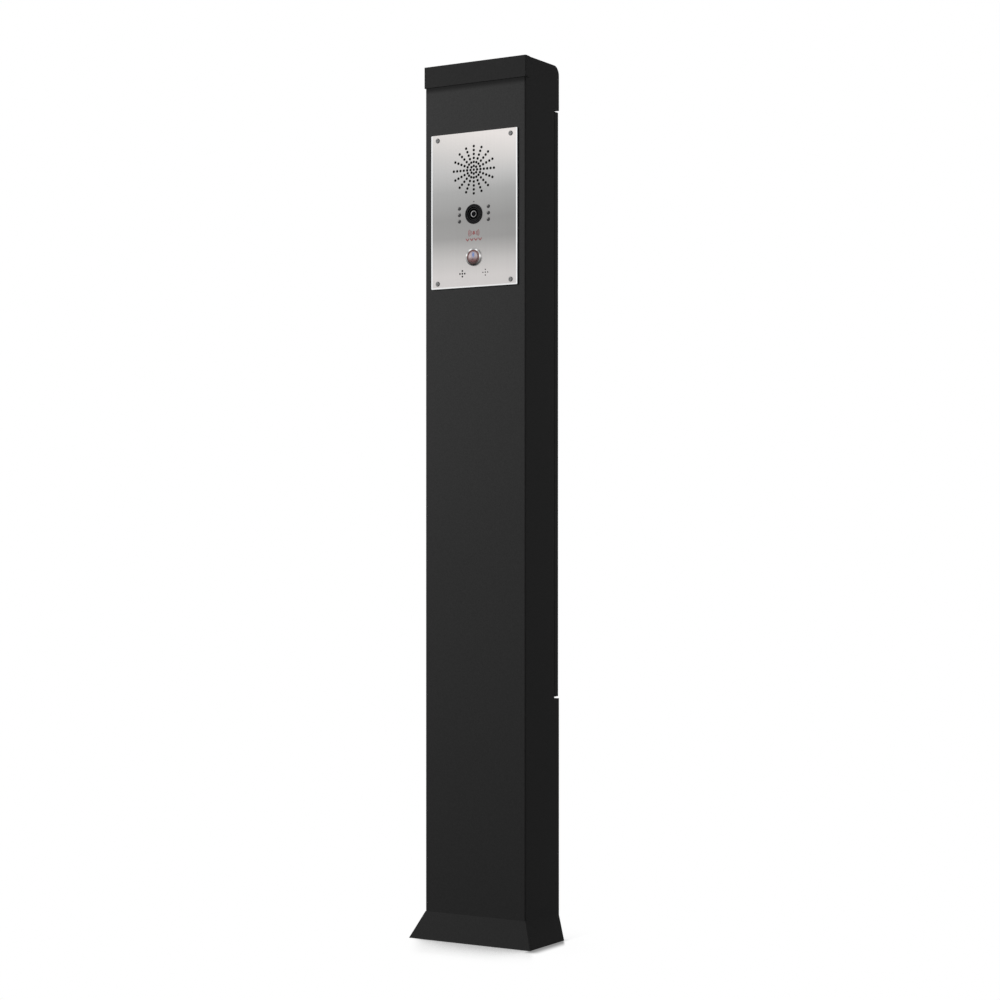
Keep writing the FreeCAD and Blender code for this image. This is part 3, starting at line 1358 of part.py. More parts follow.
def terminal_block():
    """Row of screw terminals on the main board, just below the button's switch."""
    back = BOARD_FACE_Y
    front = back - BLOCK_DEPTH
    z0 = BUTTON_Z - BUTTON_BARREL_RADIUS - BLOCK_GAP - BLOCK_HEIGHT
    block = box(-BLOCK_WIDTH / 2, BLOCK_WIDTH / 2, front, back, z0, z0 + BLOCK_HEIGHT)
    pitch = BLOCK_WIDTH / BLOCK_WAYS
    cuts = []
    for k in range(BLOCK_WAYS):
        x = (k - (BLOCK_WAYS - 1) / 2) * pitch
        mouth = box(
            x - pitch / 3, x + pitch / 3, front + BLOCK_DEPTH / 3, back - BLOCK_DEPTH / 4,
            z0, z0 + BLOCK_HEIGHT / 2,
        )
        screw = rod_y(pitch / 3, front, front + BLOCK_DEPTH / 4, x, z0 + BLOCK_HEIGHT / 2)
        cuts += [mouth, screw]
    return block.cut(cuts)


def gland_hexagon(z0, z1):
    """Six-sided part of the gland, along Z."""
    corner = GLAND_HEX_RADIUS / math.cos(math.radians(30))
    angles = [math.radians(60 * step) for step in range(6)]
    points = [vector(corner * math.cos(a), GLAND_Y + corner * math.sin(a), z0) for a in angles]
    return prism(points, vector(0, 0, z1 - z0))


def panel_gland():
    """Cable gland below the back box, and the nut that holds it from inside."""
    wall = PANEL_Z - CUTOUT_HEIGHT / 2 - BOX_SHEET
    top = wall + BOX_SHEET + GLAND_NUT_HEIGHT + GLAND_THREAD_SHOWN
    bottom = wall - GLAND_HEX_HEIGHT
    thread = rod_z(GLAND_RADIUS, wall, top, 0, GLAND_Y)
    dome = Part.makeCone(
        GLAND_BORE_RADIUS + GLAND_DOME_WALL, GLAND_HEX_RADIUS - GLAND_DOME_SHOULDER, GLAND_DOME_HEIGHT,
        vector(0, GLAND_Y, bottom - GLAND_DOME_HEIGHT), vector(0, 0, 1),
    )
    gland = fused([gland_hexagon(bottom, wall), thread, dome])
    gland = gland.cut(rod_z(GLAND_BORE_RADIUS, bottom - GLAND_DOME_HEIGHT, top, 0, GLAND_Y))
    floor = wall + BOX_SHEET
    nut = gland_hexagon(floor, floor + GLAND_NUT_HEIGHT)
    tapped = rod_z(GLAND_RADIUS + THREAD_CLEARANCE, floor, floor + GLAND_NUT_HEIGHT, 0, GLAND_Y)
    return group([gland, nut.cut(tapped)])


def rail():
    """Top-hat rail welded across the inside of the front."""
    half = RAIL_LENGTH / 2
    half_channel = RAIL_CHANNEL / 2
    half_height = RAIL_HEIGHT / 2
    hat = box(-half, half, INSIDE_Y, RAIL_FACE_Y, RAIL_Z - half_channel, RAIL_Z + half_channel)
    groove_z = half_channel - RAIL_SHEET
    groove = box(
        -half, half, INSIDE_Y + RAIL_SHEET, RAIL_FACE_Y, RAIL_Z - groove_z, RAIL_Z + groove_z
    )
    lips = [
        box(-half, half, RAIL_FACE_Y - RAIL_SHEET, RAIL_FACE_Y, RAIL_Z + low, RAIL_Z + high)
        for low, high in ((-half_height, -half_channel), (half_channel, half_height))
    ]
    return fused([hat.cut(groove)] + lips)


def power_supply():
    """Power supply clipped to the rail, with vents and a chamfered front."""
    half_x = SUPPLY_WIDTH / 2
    half_z = SUPPLY_HEIGHT / 2
    front = RAIL_FACE_Y + SUPPLY_DEPTH
    x0 = SUPPLY_X - half_x
    x1 = SUPPLY_X + half_x
    inner = SUPPLY_HEIGHT / 2 - SUPPLY_CHAMFER
    points = [
        vector(x0, RAIL_FACE_Y, RAIL_Z - half_z),
        vector(x0, RAIL_FACE_Y, RAIL_Z + half_z),
        vector(x0, front - SUPPLY_CHAMFER, RAIL_Z + half_z),
        vector(x0, front, RAIL_Z + inner),
        vector(x0, front, RAIL_Z - inner),
        vector(x0, front - SUPPLY_CHAMFER, RAIL_Z - half_z),
    ]
    case = prism(points, vector(SUPPLY_WIDTH, 0, 0))
    pitch = SUPPLY_WIDTH / (SUPPLY_VENTS + 1)
    vents = []
    for k in range(1, SUPPLY_VENTS + 1):
        x = x0 + k * pitch
        low = RAIL_Z - half_z / 2
        vents.append(box(x - pitch / 4, x + pitch / 4, front - SUPPLY_VENT_DEPTH, front, low, RAIL_Z))
    label_low = RAIL_Z + half_z / 4
    label = box(x0 + pitch, x1 - pitch, front - SUPPLY_LABEL_DEPTH, front, label_low, RAIL_Z + inner)
    return case.cut(vents + [label])


def terminal_strip():
    """Row of rail-mounted terminals, side by side."""
    terminals = []
    half = TERMINAL_HEIGHT / 2
    front = RAIL_FACE_Y + TERMINAL_DEPTH
    step = TERMINAL_DEPTH / 3
    for k in range(TERMINAL_COUNT):
        x0 = TERMINAL_X + k * (TERMINAL_WIDTH + THREAD_CLEARANCE)
        points = [
            vector(x0, RAIL_FACE_Y, RAIL_Z - half),
            vector(x0, RAIL_FACE_Y, RAIL_Z + half),
            vector(x0, front - step, RAIL_Z + half),
            vector(x0, front, RAIL_Z + half / 2),
            vector(x0, front, RAIL_Z - half / 2),
            vector(x0, front - step, RAIL_Z - half),
        ]
        terminal = prism(points, vector(TERMINAL_WIDTH, 0, 0))
        for sign in (-1, 1):
            centre = RAIL_Z + sign * half / 3
            screw = rod_y(
                TERMINAL_WIDTH / 3, front - TERMINAL_WIDTH, front, x0 + TERMINAL_WIDTH / 2, centre
            )
            terminal = terminal.cut(screw)
        terminals.append(terminal)
    return group(terminals)


def earth_stud():
    """Earth stud welded to the inside of the front, with its washer and nut."""
    bore = EARTH_STUD_RADIUS + THREAD_CLEARANCE
    middle = INSIDE_Y + EARTH_WASHER_HEIGHT
    back = middle + EARTH_NUT_HEIGHT
    stud = rod_y(EARTH_STUD_RADIUS, INSIDE_Y, INSIDE_Y + EARTH_STUD_LENGTH, EARTH_X, EARTH_Z)
    washer = rod_y(EARTH_WASHER_RADIUS, INSIDE_Y, middle, EARTH_X, EARTH_Z)
    nut = hexagon_y(EARTH_NUT_RADIUS, middle, back, EARTH_X, EARTH_Z)
    bore_tool = rod_y(bore, INSIDE_Y, back, EARTH_X, EARTH_Z)
    return group([stud, washer.cut(bore_tool), nut.cut(bore_tool)])


def subparts():
    """Every node by name."""
    parts = {
        "body_shell": body_shell(),
        "hood": hood(),
        "lower_rear_cover": lower_rear_cover(),
        "cover_screws": cover_screws(),
        "base_skirt": base_skirt(),
        "base_plate": base_plate(),
        "cable_grommet": cable_grommet(),
        "door_frame": door_frame(),
        "service_door": service_door(),
        "door_seal": door_seal(),
        "hinge_pins": hinge_pins(),
        "lock_nuts": lock_nuts(),
        "reed_switch": reed_switch(),
        "reed_magnet": reed_magnet(),
        "face_plate": face_plate(),
        "plate_gasket": plate_gasket(),
        "plate_screws": plate_screws(),
        "back_box": back_box(),
        "corner_posts": corner_posts(),
        "speaker_dust_cloth": speaker_dust_cloth(),
        "speaker_basket": speaker_basket(),
        "speaker_cone": speaker_cone(),
        "speaker_magnet": speaker_magnet(),
        "speaker_nuts": speaker_nuts(),
        "camera_bezel": camera_bezel(),
        "camera_lens_ring": camera_lens_ring(),
        "camera_lens": camera_lens(),
        "camera_nut": camera_nut(),
        "camera_module": camera_module(),
        "light_sensor": light_sensor(),
        "call_sign": call_sign(),
        "button_bezel": button_bezel(),
        "button_light_ring": button_light_ring(),
        "button_cap": button_cap(),
        "button_nut": button_nut(),
        "button_switch": button_switch(),
        "main_board": main_board(),
        "board_standoffs": board_standoffs(),
        "terminal_block": terminal_block(),
        "panel_gland": panel_gland(),
        "rail": rail(),
        "power_supply": power_supply(),
        "terminal_strip": terminal_strip(),
        "earth_stud": earth_stud(),
    }
    for place, z in hinge_places().items():
        parts["hinge_" + place + "_body_leaf"] = hinge_body_leaf(z)
        parts["hinge_" + place + "_door_leaf"] = hinge_door_leaf(z)
    for place, z in lock_places().items():
        parts["lock_" + place + "_housing"] = lock_housing(z)
        parts["lock_" + place + "_core"] = lock_core(z)
        parts["lock_" + place + "_cam"] = lock_cam(z)
    for place, side in (("left", -1), ("right", 1)):
        parts["infrared_lamps_" + place] = infrared_lamps(side)
        parts["lamp_board_" + place] = lamp_board(side)
    for place, (x, z) in mic_places().items():
        parts["microphone_" + place] = microphone(x, z)
    return parts


os.makedirs("parts", exist_ok=True)
for name, shape in subparts().items():
    shape.exportStep("parts/" + name + ".step")
    print(name, len(shape.Solids), "solid(s)", round(shape.Volume, 1), "mm3", shape.isValid())
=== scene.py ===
"""Gate intercom post: finishes, fine fittings and studio.

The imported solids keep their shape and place. This script dresses each of them with a procedural
finish, adds the details that are too fine or too soft for the solids, and sets up the floor, the
lamps and the camera. Every length is in metres, in the part's own frame: the post stands on z = 0,
its panel faces -Y and +X is to the right seen from the front. Brightness is linear.
"""

import logging
import math
from dataclasses import dataclass, field
from enum import Enum
from typing import Callable, Mapping, Optional, Sequence, Union

import bmesh
import bpy
from mathutils import Matrix, Vector


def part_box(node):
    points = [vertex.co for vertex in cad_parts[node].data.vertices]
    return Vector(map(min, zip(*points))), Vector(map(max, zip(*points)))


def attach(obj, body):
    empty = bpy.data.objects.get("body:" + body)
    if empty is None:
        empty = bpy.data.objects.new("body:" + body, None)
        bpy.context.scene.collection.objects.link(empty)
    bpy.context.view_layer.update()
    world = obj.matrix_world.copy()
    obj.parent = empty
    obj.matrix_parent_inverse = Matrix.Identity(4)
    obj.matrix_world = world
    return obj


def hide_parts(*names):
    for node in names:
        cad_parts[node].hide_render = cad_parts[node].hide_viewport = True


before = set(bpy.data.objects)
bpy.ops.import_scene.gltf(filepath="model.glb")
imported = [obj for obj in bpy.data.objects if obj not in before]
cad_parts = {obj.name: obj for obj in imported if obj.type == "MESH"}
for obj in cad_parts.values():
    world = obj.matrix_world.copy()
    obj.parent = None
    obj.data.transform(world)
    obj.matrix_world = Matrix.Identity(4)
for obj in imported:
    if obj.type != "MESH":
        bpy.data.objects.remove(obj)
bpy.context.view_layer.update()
LOG = logging.getLogger("gate_post")

Colour = tuple[float, float, float]
Point = tuple[float, float, float]
Span = tuple[float, float]
Operand = Union["Wire", float]
Scale = Union[float, Point]
Pieces = list[bpy.types.Object]

REARWARD = Vector((0.0, 1.0, 0.0))
RIGHTWARD = Vector((1.0, 0.0, 0.0))


def grey(level: float, warmth: float = 0.0) -> Colour:
    """Makes a near-neutral colour, with red raised and blue lowered by a share."""
    return (level * (1 + warmth), level, level * (1 - warmth))


def times(colour: Colour, factor: float) -> Colour:
    """Scales a colour."""
    return tuple(factor * part for part in colour)


def middle_of(node: str) -> Vector:
    """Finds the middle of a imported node's box."""
    low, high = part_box(node)
    return (low + high) / 2


def arc(steps: int, across: float, up: float, start: float = 0.0,
        sweep: float = math.tau) -> list[Span]:
    """Lays points along an arc with two radii, one more than its steps unless it closes."""
    turns = [start + sweep * k / steps for k in range(steps + (sweep < math.tau))]
    return [(across * math.cos(turn), up * math.sin(turn)) for turn in turns]


# Shader graphs


def maths(operation: str) -> Callable[..., "Wire"]:
    """Gives a method that works on a value, or on a value and another, by a Math node.

    Args:
        operation: The node's operation.

    Returns:
        The method.
    """
    def method(value: "Wire", *others: Operand) -> "Wire":
        """Adds the node and gives its result."""
        operands = dict(enumerate((value, *others)))
        return value.graph.node("ShaderNodeMath", {"operation": operation}, operands)
    return method


class Wire:
    """A socket of a node tree that takes part in sums as a number does."""

    __add__ = __radd__ = maths("ADD")
    __mul__ = __rmul__ = maths("MULTIPLY")
    __sub__ = maths("SUBTRACT")
    __truediv__ = maths("DIVIDE")
    __pow__ = maths("POWER")
    __abs__ = maths("ABSOLUTE")
    highest = maths("MAXIMUM")
    lowest = maths("MINIMUM")
    nearest = maths("ROUND")
    sine = maths("SINE")
    turn = maths("ARCTAN2")

    def __init__(self, graph: "Graph", socket: Optional[bpy.types.NodeSocket]) -> None:
        """Keeps the tree and the socket that carries the value."""
        self.graph = graph
        self.socket = socket

    def __rsub__(self, other: float) -> "Wire":
        """Takes this value from a number."""
        return self.graph.node("ShaderNodeMath", {"operation": "SUBTRACT"}, {0: other, 1: self})

    def diagonal(self, other: "Wire") -> "Wire":
        """Takes the diagonal over two sides."""
        return (self * self + other * other) ** 0.5

    def waves(self, length: float) -> "Wire":
        """Turns a distance into even waves from 0 to 1."""
        return 0.5 + 0.5 * (self * (math.tau / length)).sine()

    def rise(self, low: float, high: float) -> "Wire":
        """Makes a smooth step, 0 at the first value and 1 at the second, which may be the lower."""
        ends = {"Value": self, "From Min": low, "From Max": high}
        return self.graph.node("ShaderNodeMapRange", {"interpolation_type": "SMOOTHSTEP"}, ends)

    def peak(self, middle: float, width: float) -> "Wire":
        """Makes a smooth hill of height 1 that has run out at a width from its middle."""
        return abs(self - middle).rise(width, 0.0)


class Graph:
    """A node tree under construction."""

    def __init__(self, tree: bpy.types.NodeTree) -> None:
        """Takes a tree and empties it."""
        self.tree = tree
        tree.nodes.clear()

    def node(self, kind: str, settings: Optional[Mapping[str, object]] = None,
             inputs: Optional[Mapping[Union[int, str], object]] = None,
             output: Union[int, str] = 0) -> Wire:
        """Adds one node.

        Args:
            kind: The node's type.
            settings: Its own settings, set before its sockets. "stops" holds a ramp's positions
                and colours, in rising order.
            inputs: Values or wires of its input sockets, by name or place.
            output: Name or place of the output that is wanted.

        Returns:
            The wanted output, with no socket where the node has no outputs.
        """
        made = self.tree.nodes.new(kind)
        for name, value in (settings or {}).items():
            if name != "stops":
                setattr(made, name, value)
                continue
            stops = made.color_ramp.elements
            while len(stops) < len(value):
                stops.new(1.0)
            for stop, (place, colour) in zip(stops, value):
                stop.position = place
                stop.color = (*colour, 1.0)
        for key, value in (inputs or {}).items():
            if isinstance(value, Wire):
                self.tree.links.new(value.socket, made.inputs[key])
            else:
                made.inputs[key].default_value = value
        return Wire(self, made.outputs[output] if len(made.outputs) else None)

    def watched(self) -> Wire:
        """Gives 1 for rays that see the studio, straight, mirrored or through glass, or else 0."""
        straight, mirrored, through = (self.node("ShaderNodeLightPath", output=f"Is {kind} Ray")
                                       for kind in ("Camera", "Glossy", "Transmission"))
        return straight.highest(mirrored).highest(through)


class Shader(Graph):
    """A material under construction, in the object's own resting coordinates."""

    def __init__(self, name: str) -> None:
        """Makes the material.

        Args:
            name: The material's name.
        """
        self.material = bpy.data.materials.new(name)
        self.material.use_nodes = True
        super().__init__(self.material.node_tree)
        self.place = self.node("ShaderNodeTexCoord", output="Object")
        self.x, self.y, self.z = (
            self.node("ShaderNodeSeparateXYZ", inputs={0: self.place}, output=axis)
            for axis in "XYZ")

    def stretched(self, scale: Scale) -> Wire:
        """Scales the coordinates, alike or with a factor for each axis."""
        inputs = {0: self.place, 1: scale if isinstance(scale, tuple) else (scale, scale, scale)}
        return self.node("ShaderNodeVectorMath", {"operation": "MULTIPLY"}, inputs)

    def noise(self, scale: Scale, detail: float = 2.0, rough: float = 0.5) -> Wire:
        """Makes a noise field around 0.5: features per metre, finer layers and their weight."""
        inputs = {"Vector": self.stretched(scale), "Scale": 1.0,
                  "Detail": detail, "Roughness": rough}
        return self.node("ShaderNodeTexNoise", inputs=inputs)

    def cells(self, scale: Scale, output: str = "Distance") -> Wire:
        """Makes a field of cells: cells per metre, and which output is taken."""
        inputs = {"Vector": self.stretched(scale), "Scale": 1.0}
        return self.node("ShaderNodeTexVoronoi", inputs=inputs, output=output)

    def around(self, centre: Vector) -> Wire:
        """Measures the turn about a line along Y, 0 to the right and growing upwards."""
        return (self.z - centre.z).turn(self.x - centre.x)

    def from_axis(self, centre: Vector) -> Wire:
        """Measures the distance from a line along Y."""
        return (self.x - centre.x).diagonal(self.z - centre.z)

    def mix(self, factor: Operand, low: Union[Wire, Colour], high: Union[Wire, Colour]) -> Wire:
        """Mixes two colours: a factor of 0 gives the first, 1 the second."""
        first, second = (end if isinstance(end, Wire) else (*end, 1.0) for end in (low, high))
        return self.node("ShaderNodeMix", {"data_type": "RGBA"}, {0: factor, 6: first, 7: second}, 2)

    def dimmed(self, colour: Wire, level: Wire) -> Wire:
        """Scales a colour by a value."""
        return self.node("ShaderNodeVectorMath", {"operation": "SCALE"}, {0: colour, 3: level})

    def surface(self, colour: Wire, rough: Wire, relief: Optional[Wire] = None, depth: float = 0.0,
                share: float = 0.5, **sockets: object) -> None:
        """Ends the material with its surface.

        Args:
            colour: Its colour.
            rough: Its roughness.
            relief: Its relief, 0 to 1.
            depth: Height in metres that 1 stands for.
            share: Share of the relief's effect.
            sockets: Values or wires of other sockets, with _ for each space.
        """
        inputs = {name.replace("_", " "): value for name, value in sockets.items()}
        if relief:
            bump = {"Strength": share, "Distance": depth, "Height": relief}
            inputs["Normal"] = self.node("ShaderNodeBump", inputs=bump)
        inputs.update({"Base Color": colour, "Roughness": rough})
        self.close(self.node("ShaderNodeBsdfPrincipled", inputs=inputs))

    def close(self, surface: Wire) -> None:
        """Sends a surface to the material's output."""
        self.node("ShaderNodeOutputMaterial", inputs={"Surface": surface})


# Finishes


@dataclass(frozen=True)
class Finish:
    """A surface finish. Each kind paints its own material."""

    name: str

    def paint(self, s: Shader) -> None:
        """Builds the surface in a material's graph."""
        raise NotImplementedError

    def material(self) -> bpy.types.Material:
        """Gives the finish as a material, made the first time.

        Returns:
            The material.
        """
        if self.name not in bpy.data.materials:
            self.paint(Shader(self.name))
        return bpy.data.materials[self.name]


@dataclass(frozen=True)
class PowderCoat(Finish):
    """Fine matt powder coat with a faint orange peel."""

    tone: float = 0.0300
    grain: float = 0.0001
    foot_shade_level: float = 0.92  # share of the brightness left at the foot by painted shade, darker towards the bottom
    foot_reach: float = 1.1  # height at which the painted shade has run out
    lip_y: Optional[float] = None  # depth in front of which the coat is darker, as painted shade on the hood lip's front
    lip_front_shade: float = 0.62
    lip_z: Optional[float] = None  # height of the hood's lip, below which the front is darker by a painted shadow
    lip_reach: Span = (0.0025, 0.0128)  # distances below it at which that is deepest, and over
    lip_shade: float = 0.44
    front: Span = (-0.043, -0.046)  # depths between which that sets in on the front

    def paint(self, s: Shader) -> None:
        """Builds the coat: even black, fine grain, slight drifts of gloss, and painted shade at the
        foot, on the hood's lip and under it.

        Args:
            s: The shader.
        """
        drift, speck, peel = s.noise(2.2, 3.0), s.noise(1400.0, 1.0), s.noise(420.0)
        level = (0.5 + 0.6 * speck + 0.4 * peel).highest(0.6)
        # painted shade: the coat darkens towards the foot
        level = level * (self.foot_shade_level + (1 - self.foot_shade_level) * s.z.rise(0.0, self.foot_reach))
        # painted shade on the front of the hood's lip
        if self.lip_y is not None:
            in_front = s.y.rise(self.lip_y + 0.0006, self.lip_y + 0.0001)
            level = level * (1 - (1 - self.lip_front_shade) * in_front)
        # painted shadow of the hood's lip on the front below it
        if self.lip_z is not None:
            near, far = self.lip_reach
            lip_shadow_band = s.z.rise(self.lip_z - far, self.lip_z - near) * s.y.rise(*self.front)
            level = level * (1 - (1 - self.lip_shade) * lip_shadow_band)
        tone = s.mix(drift, grey(self.tone * 0.93), grey(self.tone * 1.07))
        s.surface(s.dimmed(tone, level), 0.47 + 0.12 * drift + 0.06 * speck,
                  0.65 * peel + 0.35 * speck, self.grain, 0.8, Specular_IOR_Level=0.02)


@dataclass(frozen=True)
class BrushedSteel(Finish):
    """The face plate's stainless steel: upright brushing over wide soft bands of painted reflection.
    """

    tones: tuple[tuple[float, Colour], ...] = (  # painted reflection's tones, by share of the height from the top edge down
        (0.00, (0.82, 0.78, 0.76)), (0.14, (0.685, 0.665, 0.65)), (0.26, (0.56, 0.555, 0.55)),
        (0.38, (0.42, 0.42, 0.415)), (0.56, (0.335, 0.332, 0.327)), (0.68, (0.35, 0.345, 0.34)),
        (0.82, (0.555, 0.54, 0.53)), (0.92, (0.645, 0.62, 0.61)))
    lean: float = 0.11  # share of the height by which the painted reflection's upper tones lean down to the right
    falls: Point = (0.085, 0.06, 0.05)  # what the painted reflection loses towards the right side, loses again and gets back
    edge: float = 0.0026  # width of the ground edge along the sides, which carries a painted highlight
    wall_shade_depth: float = 0.0002  # depth below which a hole's wall is painted near-black as painted shade
    rim_shade_reach: Span = (0.0008, 0.0003)  # how far the painted shade reaches around a hole's edge
    hole_rings: int = 6
    hole_pitch: float = 0.0067
    hole_spokes: int = 16  # holes in each ring but the first, which has half as many
    hole_radius: float = 0.0018
    mic_pitch: float = 0.0048
    mic_radius: float = 0.0011
    screw_radius: float = 0.0038
    screw_place: Span = (0.073, 0.123)  # from the plate's middle, across and up

    def hole_rim_shade(self, gap: Wire, radius: float) -> Wire:
        """Marks the painted shade around a hole's edge, from the distance to the hole's middle."""
        return gap.rise(*(radius + reach for reach in self.rim_shade_reach))

    def speaker_hole_shade(self, s: Shader) -> Wire:
        """Marks the painted shade around the edges of the speaker's holes.

        Args:
            s: The shader.

        Returns:
            1 where the shade is painted, 0 elsewhere.
        """
        centre = middle_of("speaker_dust_cloth")
        reach, turn = s.from_axis(centre), s.around(centre)
        ring = (reach / self.hole_pitch).nearest().lowest(self.hole_rings)
        along = reach - ring * self.hole_pitch
        inner = reach.rise(1.52 * self.hole_pitch, 1.48 * self.hole_pitch)
        marks = []
        for count in (self.hole_spokes // 2, self.hole_spokes):
            step = math.tau / count
            aside = (turn - (turn / step).nearest() * step) * reach
            marks.append(self.hole_rim_shade(along.diagonal(aside), self.hole_radius))
        return marks[0] * inner + marks[1] * (1 - inner)

    def microphone_hole_shade(self, s: Shader) -> Wire:
        """Marks the painted shade around the edges of the left microphone's holes.

        Args:
            s: The shader.

        Returns:
            1 where the shade is painted, 0 elsewhere.
        """
        centre = middle_of("microphone_left")
        across, up = abs(s.x - centre.x), abs(s.z - centre.z)
        column, row = ((side / self.mic_pitch).nearest().lowest(1.0) for side in (across, up))
        gap = (across - column * self.mic_pitch).diagonal(up - row * self.mic_pitch)
        return self.hole_rim_shade(gap, self.mic_radius) * (column + row).rise(1.6, 1.4)

    def paint(self, s: Shader) -> None:
        """Builds the brushing over the painted reflection, painted edge highlights and painted
        shade.

        Args:
            s: The shader.
        """
        low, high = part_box("face_plate")
        middle, size = (low + high) / 2, high - low
        across, down = (s.x - middle.x) / size.x, (high.z - s.z) / size.z
        aside, away = abs(s.x - middle.x), abs(s.z - middle.z)
        side_margin, end_margin = size.x / 2 - aside, size.z / 2 - away
        inside = side_margin.lowest(end_margin).rise(0.002, 0.003)
        # painted shade: the holes' walls are near-black
        shaded_hole_wall = s.y.rise(low.y + self.wall_shade_depth, low.y + 2 * self.wall_shade_depth) * inside
        # painted highlight along the plate's sides, and fainter along its lower edge
        side, end = (
            margin.rise(self.edge, 0.75 * self.edge) for margin in (side_margin, end_margin))
        painted_edge_shine = side.highest(0.7 * end * down.rise(0.4, 0.6))
        # painted contact shadow around each screw head
        to_screw = (aside - self.screw_place[0]).diagonal(away - self.screw_place[1])
        # painted shade around the holes' edges, joined with the screws' painted shadow
        dark = (0.97 * self.speaker_hole_shade(s)).highest(0.85 * self.microphone_hole_shade(s)).highest(
            0.6 * to_screw.rise(self.screw_radius + 0.0010, self.screw_radius + 0.0001))
        # painted reflection: soft tones by height, leaning down and changing towards the right
        fall = (self.falls[0] * down.rise(0.30, 0.50) + self.falls[1] * down.peak(0.72, 0.12)
                - self.falls[2] * down.rise(0.76, 0.86))
        leaning = down - self.lean * across * down.rise(0.36, 0.12)
        painted_reflection = s.node("ShaderNodeValToRGB", {"stops": self.tones}, {0: leaning})
        streaks, long_streaks = s.noise((1500.0, 200.0, 9.0), 3.0, 0.6), s.noise((260.0, 60.0, 2.2))
        face = s.dimmed(painted_reflection, (0.925 + 0.10 * streaks + 0.05 * long_streaks) * (1 - across * fall))
        ground = s.mix(dark, s.mix(painted_edge_shine, face, grey(0.95, -0.01)), grey(0.03))
        s.surface(s.mix(shaded_hole_wall, ground, grey(0.004)), 0.30 + 0.10 * streaks + 0.5 * shaded_hole_wall,
                  streaks, 0.000012, 0.6, Metallic=1 - shaded_hole_wall)


@dataclass(frozen=True)
class LensRingSteel(Finish):
    """Satin steel of the lens ring, with painted shade on the slope outside its crest."""

    level: float = 0.56
    slope: Span = (0.0047, 0.0056)  # radii at which the painted shade on the slope starts and is full
    slope_level: float = 0.08

    def paint(self, s: Shader) -> None:
        """Builds the metal with fine random hairlines.

        Args:
            s: The shader.
        """
        hairs, smears = s.noise((900.0, 900.0, 160.0)), s.noise(70.0, 3.0)
        # painted shade on the slope outside the crest
        outside = s.from_axis(middle_of("camera_lens_ring")).rise(*self.slope)
        tone = s.mix(smears, grey(self.level * 0.95), grey(self.level * 1.04, 0.01))
        s.surface(s.dimmed(tone, 1 - (1 - self.slope_level) * outside),
                  0.30 + 0.05 * hairs + 0.04 * smears, hairs, 0.000006, 0.4, Metallic=1.0)


@dataclass(frozen=True)
class SpunMetal(Finish):
    """The call button's cap: satin metal turned in fine rings."""

    ring: float = 0.00045

    def paint(self, s: Shader) -> None:
        """Builds rings around the cap's middle over painted reflection and shade: a cool streak
        above, a pale patch at the left, warm shade and dark patches below.

        Args:
            s: The shader.
        """
        low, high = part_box("button_cap")
        centre = (low + high) / 2
        rings = s.from_axis(centre).waves(self.ring)
        across, up = (s.x - centre.x) / (high.x - low.x), (s.z - low.z) / (high.z - low.z)
        # painted reflection and shade: dark red below, pale pink above, then a cool streak, dark
        # patches and a pale patch
        painted_cap_tint = s.mix(up.rise(0.10, 0.62), (0.17, 0.085, 0.085), (0.47, 0.40, 0.41))
        for share, colour in (
                (across.peak(0.02, 0.22) * up.peak(0.72, 0.40), (0.13, 0.25, 0.55)),
                (0.75 * s.noise(330.0).rise(0.50, 0.72) * up.rise(0.62, 0.30), (0.07, 0.035, 0.04)),
                (0.6 * across.peak(-0.33, 0.25) * up.peak(0.62, 0.4), (0.62, 0.52, 0.54))):
            painted_cap_tint = s.mix(share, painted_cap_tint, colour)
        s.surface(s.dimmed(painted_cap_tint, 0.91 + 0.10 * rings), 0.24 + 0.05 * s.noise(500.0),
                  rings, 0.000015, Metallic=1.0)


@dataclass(frozen=True)
class LockMetal(Finish):
    """Satin die-cast metal of the locks, faced in fine rings around each lock."""

    level: float = 0.34
    ring: float = 0.00035
    socket: Span = (0.0062, 0.0058)  # radii between which the drive's socket ends

    def paint(self, s: Shader) -> None:
        """Builds the rings around whichever lock is nearer, rougher and with painted shade in the
        drive's socket.

        Args:
            s: The shader.
        """
        lower, upper = middle_of("lock_bottom_housing"), middle_of("lock_top_housing")
        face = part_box("lock_bottom_housing")[1].y
        along = abs(s.z - (lower.z + upper.z) / 2) - (upper.z - lower.z) / 2
        reach = (s.x - lower.x).diagonal(along)
        rings, cast = reach.waves(self.ring), s.noise(500.0, 3.0)
        # painted shade in the drive's socket
        sunk = s.y.rise(face - 0.0006, face - 0.0030) * reach.rise(*self.socket)
        tone = s.mix(cast, grey(self.level * 0.86, 0.01), grey(self.level * 1.10, 0.01))
        s.surface(s.mix(sunk, s.dimmed(tone, 0.94 + 0.08 * rings), grey(0.05)),
                  0.26 + 0.05 * rings + 0.06 * cast + 0.15 * sunk,
                  0.5 * rings + 0.5 * cast, 0.000015, Metallic=1.0)


@dataclass(frozen=True)
class ZincSteel(Finish):
    """Bright zinc plating with soft spangle."""

    level: float = 0.55

    def paint(self, s: Shader) -> None:
        """Builds flakes of slightly different tone and gloss.

        Args:
            s: The shader.
        """
        flake = s.node("ShaderNodeSeparateColor", inputs={0: s.cells(110.0, "Color")})
        fine = s.noise(700.0)
        s.surface(s.mix(flake, grey(self.level * 0.86, -0.02), grey(self.level * 1.08, -0.01)),
                  0.34 + 0.12 * flake + 0.06 * fine, fine, 0.00002, 0.4, Metallic=1.0)


